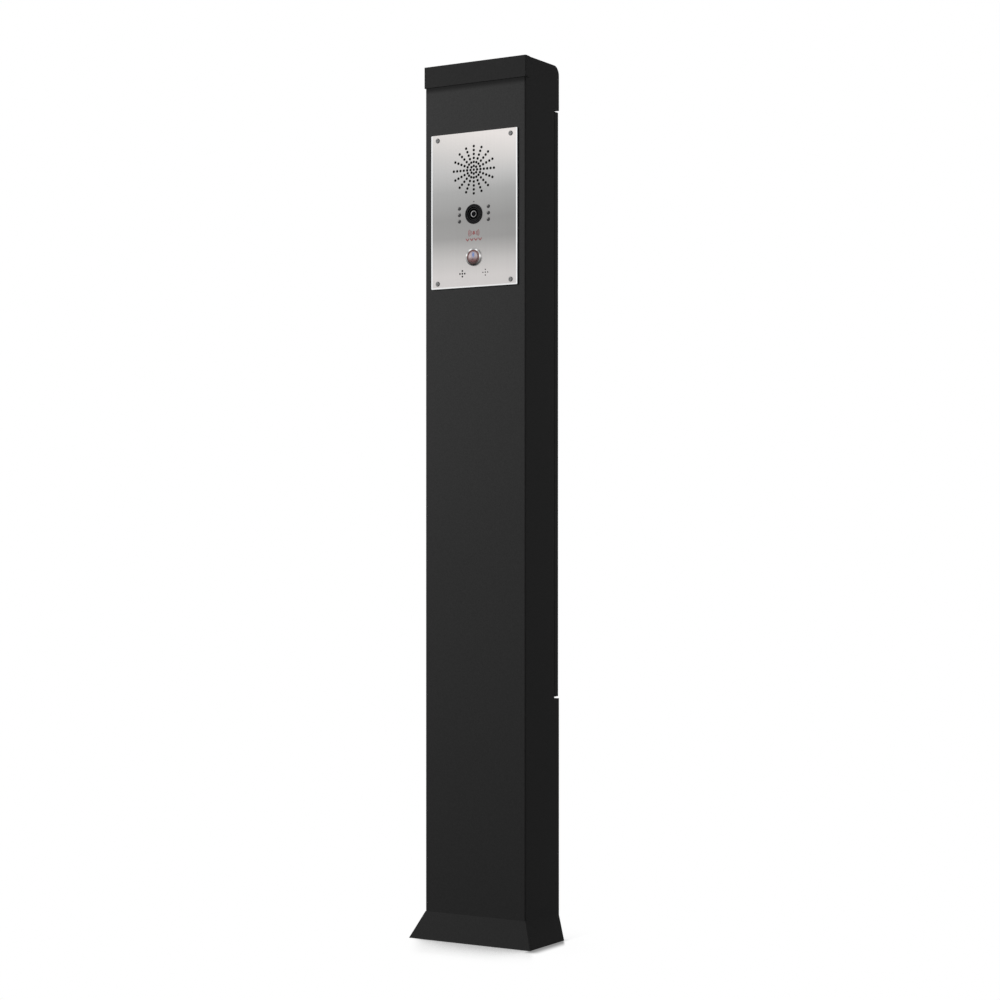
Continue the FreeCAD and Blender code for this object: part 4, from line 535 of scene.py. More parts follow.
@dataclass(frozen=True)
class Grained(Finish):
    """Plastic, enamel or plating: two close tones under a fine grain."""

    colour: Colour = (0.008, 0.008, 0.009)
    rough: float = 0.37
    gloss: float = 0.4
    worn: Optional[Colour] = None  # colour of thin spots
    spots: Span = (0.5, 0.8)  # values of the tones at which a spot starts and is fully worn
    flow: Scale = (24.0, 24.0, 60.0)  # flow marks per metre
    grain: Scale = 1100.0  # grains per metre
    flow_share: float = 0.6  # share of the flow marks in the tones
    detail: float = 2.0
    depth: float = 0.00003
    share: float = 0.5
    metal: float = 0.0

    def paint(self, s: Shader) -> None:
        """Builds the material with its grain and slight flow marks.

        Args:
            s: The shader.
        """
        flow, grain = s.noise(self.flow, self.detail), s.noise(self.grain)
        tones = self.flow_share * flow + (1 - self.flow_share) * grain
        if self.worn:
            colour = s.mix(tones.rise(*self.spots), self.colour, self.worn)
        else:
            colour = s.mix(tones, times(self.colour, 0.92), times(self.colour, 1.08))
        s.surface(colour, self.rough + 0.10 * grain + 0.06 * flow, grain, self.depth, self.share,
                  Metallic=self.metal, Specular_IOR_Level=self.gloss)


@dataclass(frozen=True)
class TerminalRow(Finish):
    """Mouldings of a row of rail terminals: grey, then one blue, then one green and yellow."""

    ways: int = 8
    body: Colour = (0.40, 0.41, 0.40)

    def paint(self, s: Shader) -> None:
        """Builds the mouldings, each with its own colour and a fine grain.

        Args:
            s: The shader.
        """
        low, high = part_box("terminal_strip")
        way = (s.x - low.x) / (high.x - low.x) * self.ways
        stripe = (s.z - low.z).waves(math.tau / 7 * (high.z - low.z)).rise(0.4, 0.6)
        earth = s.mix(stripe, (0.03, 0.24, 0.06), (0.62, 0.50, 0.03))
        colour = s.mix(s.noise(60.0), self.body, times(self.body, 0.9))
        for start, own in ((self.ways - 2, (0.03, 0.11, 0.38)), (self.ways - 1, earth)):
            colour = s.mix(way.rise(start - 0.02, start + 0.02), colour, own)
        grain = s.noise(1100.0)
        s.surface(s.dimmed(colour, 0.95 + 0.10 * grain), 0.45 + 0.10 * grain,
                  grain, 0.00003, Specular_IOR_Level=0.4)


@dataclass(frozen=True)
class Rubber(Finish):
    """Matt black rubber or cell foam."""

    colour: Colour = (0.022, 0.022, 0.023)
    pores: float = 900.0  # pores per metre

    def paint(self, s: Shader) -> None:
        """Builds the dull skin with open pores.

        Args:
            s: The shader.
        """
        pore, bloom = s.cells(self.pores).rise(0.15, 0.5), s.noise(30.0, 3.0)
        skin = s.mix(bloom, self.colour, times(self.colour, 1.35))
        s.surface(s.dimmed(skin, 0.75 + 0.25 * pore), 0.78 + 0.12 * bloom,
                  pore, 0.00008, 0.6, Specular_IOR_Level=0.25)


@dataclass(frozen=True)
class LensGlass(Finish):
    """Dark coated glass with the camera's pupil behind it."""

    ring: float = 0.0009

    def paint(self, s: Shader) -> None:
        """Builds the glass: black pupil, faint rings and a violet bloom at the rim.

        Args:
            s: The shader.
        """
        low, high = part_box("camera_lens")
        reach, radius = s.from_axis((low + high) / 2), (high.x - low.x) / 2
        rim = reach.rise(radius * 0.62, radius)
        body = s.mix(rim * reach.waves(self.ring), (0.002, 0.002, 0.0025), (0.022, 0.019, 0.030))
        s.surface(body, 0.08 + 0.03 * s.noise(200.0), Specular_IOR_Level=0.04,
                  Coat_Weight=0.01 + 0.03 * rim, Coat_Roughness=0.05)


@dataclass(frozen=True)
class LampDome(Finish):
    """Smoked clear lamp cap with its chip showing dark inside."""

    pitch: float = 0.011
    radius: float = 0.0034

    def paint(self, s: Shader) -> None:
        """Builds each dome with painted shade to the lower right and a painted highlight towards its
        upper left edge.

        Args:
            s: The shader.
        """
        middle = middle_of("infrared_lamps_right")
        column = s.x.rise(-0.001, 0.001) * 2 - 1
        steps = (s.z - middle.z) / self.pitch
        right = (s.x - middle.x * column) / self.radius
        up = (steps - steps.nearest()) * (self.pitch / self.radius)
        chip = ((right + 0.1) ** 2 + (up + 0.2) ** 2).rise(0.30, 0.08)
        swirl = s.noise(260.0)
        # painted highlight at the upper left, painted shade at the lower right
        tone = s.mix((up - right).rise(0.0, 1.5), (0.030, 0.030, 0.032), (0.30, 0.29, 0.285))
        tone = s.mix(0.7 * chip, tone, (0.012, 0.012, 0.013))
        s.surface(s.dimmed(tone, 0.9 + 0.2 * swirl), 0.22 + 0.05 * swirl, Specular_IOR_Level=0.35,
                  Coat_Weight=0.12 + 0.06 * swirl, Coat_Roughness=0.08)


@dataclass(frozen=True)
class DomedScrew(Finish):
    """Dark stainless screw head, with a painted highlight on its crown and painted shade on its
    sloping rim.
    """

    crown: float = 0.30
    rim: float = 0.07

    def paint(self, s: Shader) -> None:
        """Builds the turned head: its height tells crown from rim.

        Args:
            s: The shader.
        """
        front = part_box("plate_screws")[0].y
        marks = s.noise((800.0, 2000.0, 800.0))
        # painted highlight on the crown, painted shade on the rim
        tone = s.mix(s.y.rise(front + 0.0007, front + 0.0001), grey(self.rim), grey(self.crown))
        s.surface(s.dimmed(tone, 0.85 + 0.3 * marks), 0.30 + 0.12 * marks,
                  marks, 0.000012, Metallic=1.0)


@dataclass(frozen=True)
class MirrorBezel(Finish):
    """The button's polished bezel, with the painted reflections of bright glints and a dark patch
    that a rounded rim gathers.
    """

    # turn, in radians, and half width of each painted glint, and of the painted dark reflection
    # below
    glints: tuple[Span, ...] = ((0.10, 0.36), (1.05, 0.30), (2.00, 0.42), (2.85, 0.30))
    dark: Span = (-1.45, 1.45)
    rim: Span = (0.0112, 0.0128)  # radii between which the painted dark reflection reaches its full depth

    def paint(self, s: Shader) -> None:
        """Builds the painted reflections around the rim and fine polishing hairlines.

        Args:
            s: The shader.
        """
        centre = middle_of("button_bezel")
        turn, hairs = s.around(centre), s.noise((900.0, 900.0, 160.0))
        # painted glints and, below, a painted dark reflection
        bright = turn.peak(*self.glints[0])
        for glint in self.glints[1:]:
            bright = bright.highest(turn.peak(*glint))
        outer = s.from_axis(centre).rise(*self.rim)
        shade = s.mix(turn.peak(*self.dark) ** 0.5 * (0.55 + 0.45 * outer), grey(0.40), grey(0.018))
        s.surface(s.dimmed(s.mix(bright, shade, grey(0.96)), 0.92 + 0.16 * hairs),
                  0.12 + 0.05 * hairs, hairs, 0.000006, 0.4, Metallic=1.0)


@dataclass(frozen=True)
class Diffuser(Finish):
    """The button's light ring, unlit: dark red frosted plastic, paler at its inner lip."""

    lamps: int = 8
    lip: Span = (0.0104, 0.0096)  # radii between which the lip starts

    def paint(self, s: Shader) -> None:
        """Builds the frosted ring with faint shading between its lamps and painted shade over its
        lower half.

        Args:
            s: The shader.
        """
        centre = middle_of("button_light_ring")
        lamps = (s.x - centre.x).turn(s.z - centre.z).waves(math.tau / self.lamps)
        red = s.mix(lamps, (0.085, 0.034, 0.032), (0.13, 0.055, 0.052))
        plastic = s.mix(0.8 * s.from_axis(centre).rise(*self.lip), red, (0.34, 0.27, 0.27))
        # painted shade: the ring darkens over its lower half
        frost, lower = s.noise(1300.0), 0.35 + 0.65 * (s.z - centre.z).rise(-0.010, 0.0)
        s.surface(s.dimmed(plastic, (0.92 + 0.16 * frost) * lower), 0.45 + 0.1 * frost,
                  frost, 0.00002, 0.4, Specular_IOR_Level=0.4)


@dataclass(frozen=True)
class SpeakerCloth(Finish):
    """Open black weave over the speaker."""

    thread: float = 0.0006

    def paint(self, s: Shader) -> None:
        """Builds warp and weft, with the cone's dust cap showing slightly paler behind.

        Args:
            s: The shader.
        """
        weave = (s.x.waves(self.thread) * s.z.waves(self.thread)) ** 0.5
        behind = s.from_axis(middle_of("speaker_dust_cloth")).rise(0.017, 0.006)
        s.surface(s.dimmed(s.mix(behind, grey(0.003), grey(0.010)), 0.5 + weave),
                  0.85 + 0.1 * s.noise(600.0), weave, 0.0001, 0.7, Specular_IOR_Level=0.15)


@dataclass(frozen=True)
class ConePaper(Finish):
    """Pressed black paper with fibres."""

    rib: float = 0.004

    def paint(self, s: Shader) -> None:
        """Builds fibres and the cone's fine corrugation.

        Args:
            s: The shader.
        """
        fibres = s.noise((500.0, 500.0, 1400.0), 3.0, 0.6)
        ribs = s.from_axis(middle_of("speaker_cone")).waves(self.rib)
        s.surface(s.mix(fibres, grey(0.018), (0.045, 0.044, 0.042)), 0.8 + 0.1 * fibres,
                  0.6 * ribs + 0.4 * fibres, 0.0002, Specular_IOR_Level=0.2)


@dataclass(frozen=True)
class Ferrite(Finish):
    """Ground ferrite, dark and slightly sparkling."""

    def paint(self, s: Shader) -> None:
        """Builds the ground face with fine bright grains.

        Args:
            s: The shader.
        """
        grain = s.noise(1500.0, 3.0, 0.7)
        sparkle = grain.rise(0.66, 0.8)
        s.surface(s.mix(grain, (0.05, 0.05, 0.053), (0.11, 0.11, 0.115)), 0.5 - 0.15 * sparkle,
                  grain, 0.00003, 0.6, Metallic=0.5 * sparkle)


@dataclass(frozen=True)
class SolderMask(Finish):
    """A circuit board's mask with its tracks showing through."""

    def paint(self, s: Shader) -> None:
        """Builds tracks along both directions and tinned pads.

        Args:
            s: The shader.
        """
        lanes = s.noise((180.0, 1.0, 22.0), 1.0).rise(0.50, 0.53)
        tracks = lanes.highest(s.noise((22.0, 1.0, 180.0), 1.0).rise(0.53, 0.56))
        pads = s.cells((230.0, 1.0, 230.0)).rise(0.20, 0.16)
        green = s.mix(tracks, (0.010, 0.075, 0.035), (0.022, 0.13, 0.06))
        s.surface(s.mix(pads, green, (0.62, 0.60, 0.55)), 0.30 + 0.08 * s.noise(600.0),
                  tracks.highest(pads), 0.00004, 0.6, Metallic=0.9 * pads, Specular_IOR_Level=0.5)


class Stock(Enum):
    """The finishes that this post is made of."""

    # every coat is painted darker towards the foot as painted shade
    COAT = PowderCoat("matt black coat")
    # the shell's coat carries the hood lip's painted shadow
    SHELL_COAT = PowderCoat("matt black coat on the shell", lip_z=1.464)
    # the hood's coat carries painted shade on its lip's front
    HOOD_COAT = PowderCoat("matt black coat on the hood", lip_y=-0.0487)
    INNER_COAT = PowderCoat("thin black coat inside", 0.060, 0.00009)
    PLATE = BrushedSteel("brushed stainless face")
    LOCK = LockMetal("satin lock metal")
    SCREW = DomedScrew("dark domed screw")
    BEZEL = MirrorBezel("mirror bezel")
    LENS_RING = LensRingSteel("satin lens ring")
    CAP = SpunMetal("spun button cap")
    ZINC = ZincSteel("bright zinc")
    BLACK_PLASTIC = Grained("black moulding", gloss=0.12)
    # the ridges are lighter than the camera bezel's moulding as painted highlight rings
    PAINTED_HIGHLIGHT_RIDGE = Grained("satin black ridge", (0.030, 0.030, 0.031), 0.29, 0.22)
    CAMERA_PLASTIC = Grained("deep black moulding", (0.0012, 0.0012, 0.0013), 0.35, 0.015)
    GREY_PLASTIC = Grained("light grey moulding", (0.42, 0.43, 0.44), 0.45)
    WHITE_PLASTIC = Grained("white marker", (0.72, 0.72, 0.70), 0.45)
    GREEN_PLASTIC = Grained("green moulding", (0.04, 0.24, 0.10), 0.40)
    BLUE_PLASTIC = Grained("blue moulding", (0.03, 0.10, 0.36), 0.40)
    LAMP_GREEN = Grained("green indicator", (0.10, 0.55, 0.16), 0.15)
    SIGN = Grained("red enamel print", (0.22, 0.082, 0.082), 0.39, worn=(0.1804, 0.06724, 0.06724),
                   spots=(0.45, 0.75), flow=700.0, grain=700.0, depth=0.00001, share=0.4)
    NICKEL = Grained(
        "nickel plated brass", (0.60, 0.57, 0.52), 0.21, worn=(0.62, 0.54, 0.38), flow=45.0,
        detail=3.0, grain=(500.0, 2600.0, 500.0), flow_share=1.0, depth=0.00001, share=0.4,
        metal=1.0)
    TERMINALS = TerminalRow("rail terminal mouldings")
    RUBBER = Rubber("black rubber")
    FOAM = Rubber("black cell foam", (0.030, 0.030, 0.031), 520.0)
    LENS = LensGlass("coated lens glass")
    DOME = LampDome("smoked lamp dome")
    RING = Diffuser("dark red diffuser")
    CLOTH = SpeakerCloth("black speaker cloth")
    PAPER = ConePaper("pressed cone paper")
    FERRITE = Ferrite("ground ferrite")
    BOARD = SolderMask("green solder mask")


def dress(plan: Mapping[Stock, str]) -> None:
    """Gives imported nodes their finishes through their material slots.

    Args:
        plan: The names of the nodes of each finish, with spaces between them.
    """
    for stock, names in plan.items():
        for name in names.split():
            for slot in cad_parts[name].material_slots:
                slot.material = stock.value.material()


# Mesh making


def placed(name: str, data: bpy.types.ID, place: Point = (0.0, 0.0, 0.0)) -> bpy.types.Object:
    """Makes an object from its mesh, lamp or camera and adds it to the scene.

    Args:
        name: The object's name.
        data: What it shows.
        place: Where it stands.

    Returns:
        The object.
    """
    made = bpy.data.objects.new(name, data)
    made.location = place
    bpy.context.scene.collection.objects.link(made)
    return made


@dataclass
class Maker:
    """Collects mesh in the part's own frame and hands it over as a piece."""

    name: str
    body: str  # the body that the piece rides on
    stock: Stock
    slot: str  # name of a material slot
    mesh: bmesh.types.BMesh = field(default_factory=bmesh.new)

    def skin(self, loops: Sequence[Sequence[Vector]], closed: bool = False) -> None:
        """Skins a row of point loops.

        Args:
            loops: Loops with the same number of points.
            closed: Whether the last loop joins the first. Otherwise both are filled.
        """
        rows = [[self.mesh.verts.new(point) for point in loop] for loop in loops]
        for first, second in zip(rows, rows[1:] + (rows[:1] if closed else [])):
            for i, corner in enumerate(first):
                j = (i + 1) % len(first)
                self.mesh.faces.new((corner, first[j], second[j], second[i]))
        if not closed:
            self.mesh.faces.new(list(reversed(rows[0])))
            self.mesh.faces.new(rows[-1])

    def turned(self, outline: Sequence[Span], centre: Vector, axis: Vector, steps: int) -> None:
        """Turns an outline around an axis.

        Args:
            outline: Radius and height of each point, closed into a ring of points.
            centre: Point of the axis at height 0.
            axis: Direction of the height, of length 1.
            steps: Number of steps around.
        """
        side = axis.orthogonal().normalized()
        other = axis.cross(side)
        self.skin([
            [centre + (side * u + other * v) * radius + axis * height for radius, height in outline]
            for u, v in arc(steps, 1.0, 1.0)], closed=True)

    def slotted_head(self, centre: Vector, radius: float, height: float, slot_turn: float) -> None:
        """Adds a round screw head with a slot through its upper half, which faces +Y.

        Args:
            centre: Middle of its underside.
            radius: Its radius.
            height: Its height.
            slot_turn: Turn of the slot in radians.
        """
        half_slot = math.asin(0.16)  # the slot is that share of the head wide
        floor = centre.y + height / 2
        parts = [(arc(20, radius, radius), centre.y, floor)]
        for start in (slot_turn + half_slot, slot_turn + half_slot + math.pi):
            half = arc(10, radius, radius, start, math.pi - 2 * half_slot)
            parts.append((half, floor, centre.y + height))
        for outline, *ends in parts:
            self.skin([[Vector((centre.x + u, y, centre.z + v)) for u, v in outline] for y in ends])

    def block(self, low: Vector, high: Vector, round_edge: float) -> None:
        """Adds a block with rounded edges.

        Args:
            low: Lowest corner.
            high: Highest corner.
            round_edge: Radius of the edges.
        """
        matrix = Matrix.Translation((low + high) / 2) @ Matrix.Diagonal((*(high - low), 1.0))
        made = bmesh.ops.create_cube(self.mesh, size=1.0, matrix=matrix)
        edges = list({edge for vert in made["verts"] for edge in vert.link_edges})
        bmesh.ops.bevel(self.mesh, geom=edges, offset=round_edge, segments=2, profile=0.5,
                        affect="EDGES")

    def piece(self, smooth_deg: float = 35.0) -> bpy.types.Object:
        """Makes the object and lets it ride.

        Args:
            smooth_deg: Edges flatter than this are shaded smooth.

        Returns:
            The object.
        """
        bmesh.ops.recalc_face_normals(self.mesh, faces=self.mesh.faces)
        for part in self.mesh.faces:
            part.smooth = True
        limit = math.radians(smooth_deg)
        for edge in self.mesh.edges:
            edge.smooth = len(edge.link_faces) == 2 and edge.calc_face_angle(math.pi) < limit
        data = bpy.data.meshes.new(self.name)
        self.mesh.to_mesh(data)
        self.mesh.free()
        data.materials.append(self.stock.value.material())
        made = placed(self.name, data)
        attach(made, self.body)
        return made


def ridge(middle: float, width: float, base: float, rise: float, steps: int = 6) -> list[Span]:
    """Gives the outline of a round ridge to be turned, from middle radius, width, foot, height."""
    return [(middle + u, base + v) for u, v in arc(steps, width / 2, rise, sweep=math.pi)]


def needle(height: float, radius: float = 0.00002) -> list[Span]:
    """Ends a turned outline near its middle, with a bore too fine to be seen."""
    return [(radius, height), (radius, 0.0)]


# Sub-assemblies


@dataclass
class Pillar:
    """The folded shell, the hood over it, the cover behind and the flared foot."""

    def build(self) -> Pieces:
        """Dresses the pillar.

        Returns:
            No pieces, because it needs no finer ones.
        """
        dress({
            Stock.COAT: "lower_rear_cover base_skirt",
            Stock.SHELL_COAT: "body_shell",
            Stock.HOOD_COAT: "hood",
            Stock.INNER_COAT: "door_frame",
            Stock.ZINC: "cover_screws base_plate",
            Stock.RUBBER: "cable_grommet",
        })
        return []


@dataclass
class Hinge:
    """One of the two hinges, whose leaves are welded on."""

    name: str
    bead: float = 0.0015  # radius of the weld bead on the post's leaf
    door_bead: float = 0.0011
    ripple: float = 0.0022
    ripple_steps: int = 4
    ripple_swell: float = 0.09  # share of the radius
    end_share: float = 0.05  # share of its length over which each end of a bead thins
    end_thick: float = 0.4
    knuckle: float = 0.004
    clear: float = 0.0065  # distance from the knuckles' middle at which the beads end

    def bead_around(self, piece: str, body: str, near: Vector, far: Vector,
                    radius: float) -> bpy.types.Object:
        """Lays a rippled bead over the top, the far edge and the bottom of a leaf.

        Args:
            piece: The piece's name.
            body: The body that the leaf is on.
            near: Lower end of the bead, on the knuckles' side.
            far: Its upper corner on the far side.
            radius: Its radius.

        Returns:
            The bead.
        """
        turns = [near, Vector((near.x, far.y, near.z)), far, Vector((near.x, near.y, far.z))]
        path = [near]
        for start, end in zip(turns, turns[1:]):
            count = math.ceil((end - start).length / (self.ripple / self.ripple_steps))
            path += [start.lerp(end, i / count) for i in range(1, count + 1)]
        last = len(path) - 1
        loops = []
        for i, point in enumerate(path):
            up = (path[min(i + 1, last)] - path[max(i - 1, 0)]).normalized().cross(RIGHTWARD)
            from_end = min(i, last - i) / last / self.end_share
            wave = math.sin(math.tau * len(path) / self.ripple_steps * i / last)
            thick = min(1.0, self.end_thick + (1 - self.end_thick) * from_end)
            thick *= (1 + self.ripple_swell * wave) * radius
            loops.append([point + (RIGHTWARD * u + up * v) * thick for u, v in arc(10, 1.0, 1.0)])
        maker = Maker(piece, body, Stock.COAT, "powder_coat")
        maker.skin(loops)
        return maker.piece(50.0)

    def build(self) -> Pieces:
        """Lays the beads on both leaves.

        Returns:
            The beads.
        """
        low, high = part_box(f"hinge_{self.name}_body_leaf")
        door_low, door_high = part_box(f"hinge_{self.name}_door_leaf")
        axis = high.y - self.knuckle
        near = Vector((high.x, axis - self.clear, low.z))
        door_near = Vector((door_high.x, axis + self.clear, door_low.z))
        return [
            self.bead_around(f"hinge_{self.name}_weld", "post", near,
                             Vector((high.x, low.y, high.z)), self.bead),
            self.bead_around(f"hinge_{self.name}_door_weld", "service_door", door_near,
                             door_high, self.door_bead)]


@dataclass
class Lock:
    """One quarter-turn lock, with the marks that tell open from locked."""

    name: str
    mark_reach: float = 0.0098  # distance of the marks from the lock's middle
    mark_radius: float = 0.0009
    mark_rise: float = 0.0003
    pointer: Span = (0.0053, 0.0067)  # its inner and outer reach on the core
    pointer_half: float = 0.00035
    pointer_rise: float = 0.00025
    sunk: float = 0.0001  # how deep it sits in the core, and how round its edges are

    def build(self) -> Pieces:
        """Sets a ring at open, a dot at locked, and a pointer on the core.

        Returns:
            The marks and the pointer.
        """
        housing = f"lock_{self.name}_housing"
        centre = middle_of(housing)
        centre.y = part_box(housing)[1].y
        black = (Stock.BLACK_PLASTIC, "black_plastic")
        marks = Maker(f"lock_{self.name}_marks", "service_door", *black)
        ring = ridge(self.mark_radius * 0.75, self.mark_radius * 0.5, 0.0, self.mark_rise, 8)
        marks.turned(ring, centre - Vector((0.0, 0.0, self.mark_reach)), REARWARD, 20)
        dot = [(self.mark_radius, 0.0), (self.mark_radius * 0.9, self.mark_rise)]
        dot += needle(self.mark_rise)
        marks.turned(dot, centre + RIGHTWARD * self.mark_reach, REARWARD, 20)
        pointer = Maker(f"lock_{self.name}_pointer", f"lock_{self.name}", *black)
        pointer.block(centre - Vector((self.pointer_half, self.sunk, self.pointer[1])),
                      centre + Vector((self.pointer_half, self.pointer_rise, -self.pointer[0])),
                      self.sunk)
        return [marks.piece(), pointer.piece()]


@dataclass
class ServiceDoor:
    """The long door behind, with its seal, hinges, locks and tamper contact."""

    seal_half: float = 0.004
    seal_round: float = 0.0028  # radius of the seal's two shoulders
    seal_groove: float = 0.0005  # depth of the groove that the frame's lip has pressed into it
    groove_half: float = 0.0011

    def seal(self) -> bpy.types.Object:
        """Makes the seal: a soft rounded strip with mitred corners and a pressed groove.

        Returns:
            The seal.
        """
        low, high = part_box("door_seal")
        shoulder = [(self.seal_half - self.seal_round + u, low.y + self.seal_round - v)
                    for u, v in arc(5, self.seal_round, self.seal_round, sweep=math.pi / 2)]
        groove = [(self.groove_half, low.y), (self.groove_half * 0.5, low.y + self.seal_groove)]
        right = [(self.seal_half, high.y), *shoulder, *groove]
        section = right + [(-out, y) for out, y in reversed(right)]
        ends = {-1: low, 1: high}
        loops = [[Vector((ends[side].x + (out - self.seal_half) * side, y,
                          ends[end].z + (out - self.seal_half) * end)) for out, y in section]
                 for side, end in ((-1, -1), (1, -1), (1, 1), (-1, 1))]
        maker = Maker("door_seal_strip", "service_door", Stock.FOAM, "black_rubber")
        maker.skin(loops, closed=True)
        made = maker.piece(40.0)
        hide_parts("door_seal")
        return made

    def build(self) -> Pieces:
        """Dresses the door and its fittings, and adds the seal, the welds and the lock marks.

        Returns:
            The pieces.
        """
        dress({
            Stock.COAT: "service_door hinge_bottom_body_leaf hinge_bottom_door_leaf"
                        " hinge_top_body_leaf hinge_top_door_leaf",
            Stock.ZINC: "hinge_pins lock_nuts lock_bottom_cam lock_top_cam",
            Stock.LOCK: "lock_bottom_housing lock_top_housing lock_bottom_core lock_top_core",
            Stock.FOAM: "door_seal",
            Stock.GREY_PLASTIC: "reed_switch reed_magnet",
        })
        made = [self.seal()]
        for place in ("bottom", "top"):
            made += Hinge(place).build() + Lock(place).build()
        return made


@dataclass
class IntercomPanel:
    """The stainless panel with its fittings and the tray behind it."""

    # each ridge on the camera's rim and in its recess: middle radius, width, foot, height, steps
    ridges: tuple[tuple[float, float, float, float, int], ...] = (
        (0.0162, 0.0006, 0.0, 0.0002, 72), (0.0144, 0.0005, 0.0, 0.0002, 72),
        (0.0124, 0.0007, 0.0, 0.0003, 72), (0.0098, 0.0006, -0.0012, 0.0003, 64))

    def build(self) -> Pieces:
        """Dresses the panel's parts and turns the fine ridges of the camera.

        Returns:
            The ridges.
        """
        dress({
            Stock.PLATE: "face_plate",
            Stock.RUBBER: "plate_gasket microphone_left microphone_right",
            Stock.SCREW: "plate_screws",
            Stock.SIGN: "call_sign",
            Stock.ZINC: "back_box corner_posts speaker_basket speaker_nuts button_nut",
            Stock.CLOTH: "speaker_dust_cloth",
            Stock.PAPER: "speaker_cone",
            Stock.FERRITE: "speaker_magnet",
            Stock.BLACK_PLASTIC: "camera_nut camera_module button_switch",
            Stock.CAMERA_PLASTIC: "camera_bezel light_sensor",
            Stock.LENS_RING: "camera_lens_ring",
            Stock.LENS: "camera_lens",
            Stock.DOME: "infrared_lamps_left infrared_lamps_right",
            Stock.BOARD: "lamp_board_left lamp_board_right main_board",
            Stock.BEZEL: "button_bezel",
            Stock.RING: "button_light_ring",
            Stock.CAP: "button_cap",
            Stock.GREY_PLASTIC: "board_standoffs",
            Stock.GREEN_PLASTIC: "terminal_block",
            Stock.NICKEL: "panel_gland",
        })
        low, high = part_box("camera_bezel")
        centre = Vector((0.0, low.y, (low.z + high.z) / 2))
        maker = Maker("camera_bezel_ridges", "post", Stock.PAINTED_HIGHLIGHT_RIDGE, "black_plastic")
        for *sizes, steps in self.ridges:
            maker.turned(ridge(*sizes), centre, -REARWARD, steps)
        return [maker.piece(50.0)]


@dataclass
class LowerBay:
    """The rail behind the front sheet with the supply and the terminals."""

    ways: int = 8
    way_pitch: float = 0.00625
    way_screw: float = 0.0019
    way_well: float = 0.0062  # depth of the well that a terminal's screw stands in
    screw_drop: float = 0.0016  # depth of its head below the terminal's face
    tag: Point = (0.0024, 0.0004, 0.0027)  # half of a marker's size
    tag_round: float = 0.0003
    supply_ways: int = 4
    supply_screw: Span = (0.0030, 0.0016)  # radius and height
    supply_row: float = 0.0130  # height of the screws above the supply's bottom
    sunk: float = 0.0004  # how deep they sit in its face
    rim_gap: float = 0.0008  # from a screw to the middle of its rim
    rim: Span = (0.0012, 0.0014)  # width and height
    light_row: float = 0.0110  # height of the indicator and the trimmer above its middle
    light_aside: float = 0.25  # share of its width from its sides to them
    light: Span = (0.0017, 0.0012)  # radius and height
    trimmer: Span = (0.0025, 0.0014)  # radius and height

    def terminal_fittings(self) -> Pieces:
        """Makes the screws and the blank markers of the rail terminals.

        Returns:
            The screws and the markers.
        """
        low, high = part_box("terminal_strip")
        middle = (low + high) / 2
        screws = Maker("terminal_screws", "post", Stock.ZINC, "zinc_steel")
        tags = Maker("terminal_markers", "post", Stock.WHITE_PLASTIC, "grey_plastic")
        for way in range(self.ways):
            x = middle.x + (way - (self.ways - 1) / 2) * self.way_pitch
            for side in (-1, 1):
                foot = Vector((x, high.y - self.way_well, middle.z + side * (high.z - low.z) / 6))
                rise = self.way_well - self.screw_drop
                screws.slotted_head(foot, self.way_screw, rise, 0.4 + 0.9 * way + side)
            face, half = Vector((x, high.y, middle.z)), Vector(self.tag)
            tags.block(face - half, face + half, self.tag_round)
        return [screws.piece(), tags.piece()]

    def supply_fittings(self) -> Pieces:
        """Makes the supply's clamp screws in their rims, its indicator and its trimmer.

        Returns:
            The screws, the rims, the indicator and the trimmer.
        """
        low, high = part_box("power_supply")
        width = high.x - low.x
        row = (low.z + high.z) / 2 + self.light_row
        screws = Maker("supply_screws", "post", Stock.ZINC, "zinc_steel")
        rims = Maker("supply_screw_rims", "post", Stock.BLACK_PLASTIC, "black_plastic")
        light = Maker("supply_indicator", "post", Stock.LAMP_GREEN, "green_plastic")
        trimmer = Maker("supply_trimmer", "post", Stock.BLUE_PLASTIC, "green_plastic")
        rim = ridge(self.supply_screw[0] + self.rim_gap, self.rim[0], 0.0, self.rim[1])
        for way in range(self.supply_ways):
            x = low.x + width * (way + 1) / (self.supply_ways + 1)
            foot = Vector((x, high.y - self.sunk, low.z + self.supply_row))
            screws.slotted_head(foot, *self.supply_screw, 0.3 + 1.1 * way)
            rims.turned(rim, foot, REARWARD, 32)
        dome = arc(6, *self.light, sweep=math.pi / 2)[:-1] + needle(self.light[1])
        aside = width * self.light_aside
        light.turned(dome, Vector((high.x - aside, high.y, row)), REARWARD, 24)
        foot = Vector((low.x + aside, high.y - self.sunk / 2, row))
        trimmer.slotted_head(foot, *self.trimmer, 0.9)
        return [screws.piece(), rims.piece(50.0), light.piece(50.0), trimmer.piece()]

    def build(self) -> Pieces:
        """Dresses the bay's parts and adds their small fittings.

        Returns:
            The pieces.
        """
        dress({
            Stock.ZINC: "rail",
            Stock.GREY_PLASTIC: "power_supply",
            Stock.TERMINALS: "terminal_strip",
            Stock.NICKEL: "earth_stud",
        })
        return self.terminal_fittings() + self.supply_fittings()


# Studio


@dataclass(frozen=True)
class Lamp:
    """A square soft lamp."""

    name: str
    place: Point
    aim: Point
    power: float  # in watts
    side: float = 1.3

    def hang(self) -> None:
        """Hangs the lamp, which lights the post but isn't mirrored in it."""
        data = bpy.data.lights.new(self.name, "AREA")
        data.shape = "SQUARE"
        data.size = self.side
        data.energy = self.power
        made = placed(self.name, data, self.place)
        ahead = Vector(self.aim) - Vector(self.place)
        made.rotation_euler = ahead.to_track_quat("-Z", "Y").to_euler()
        made.visible_glossy = False


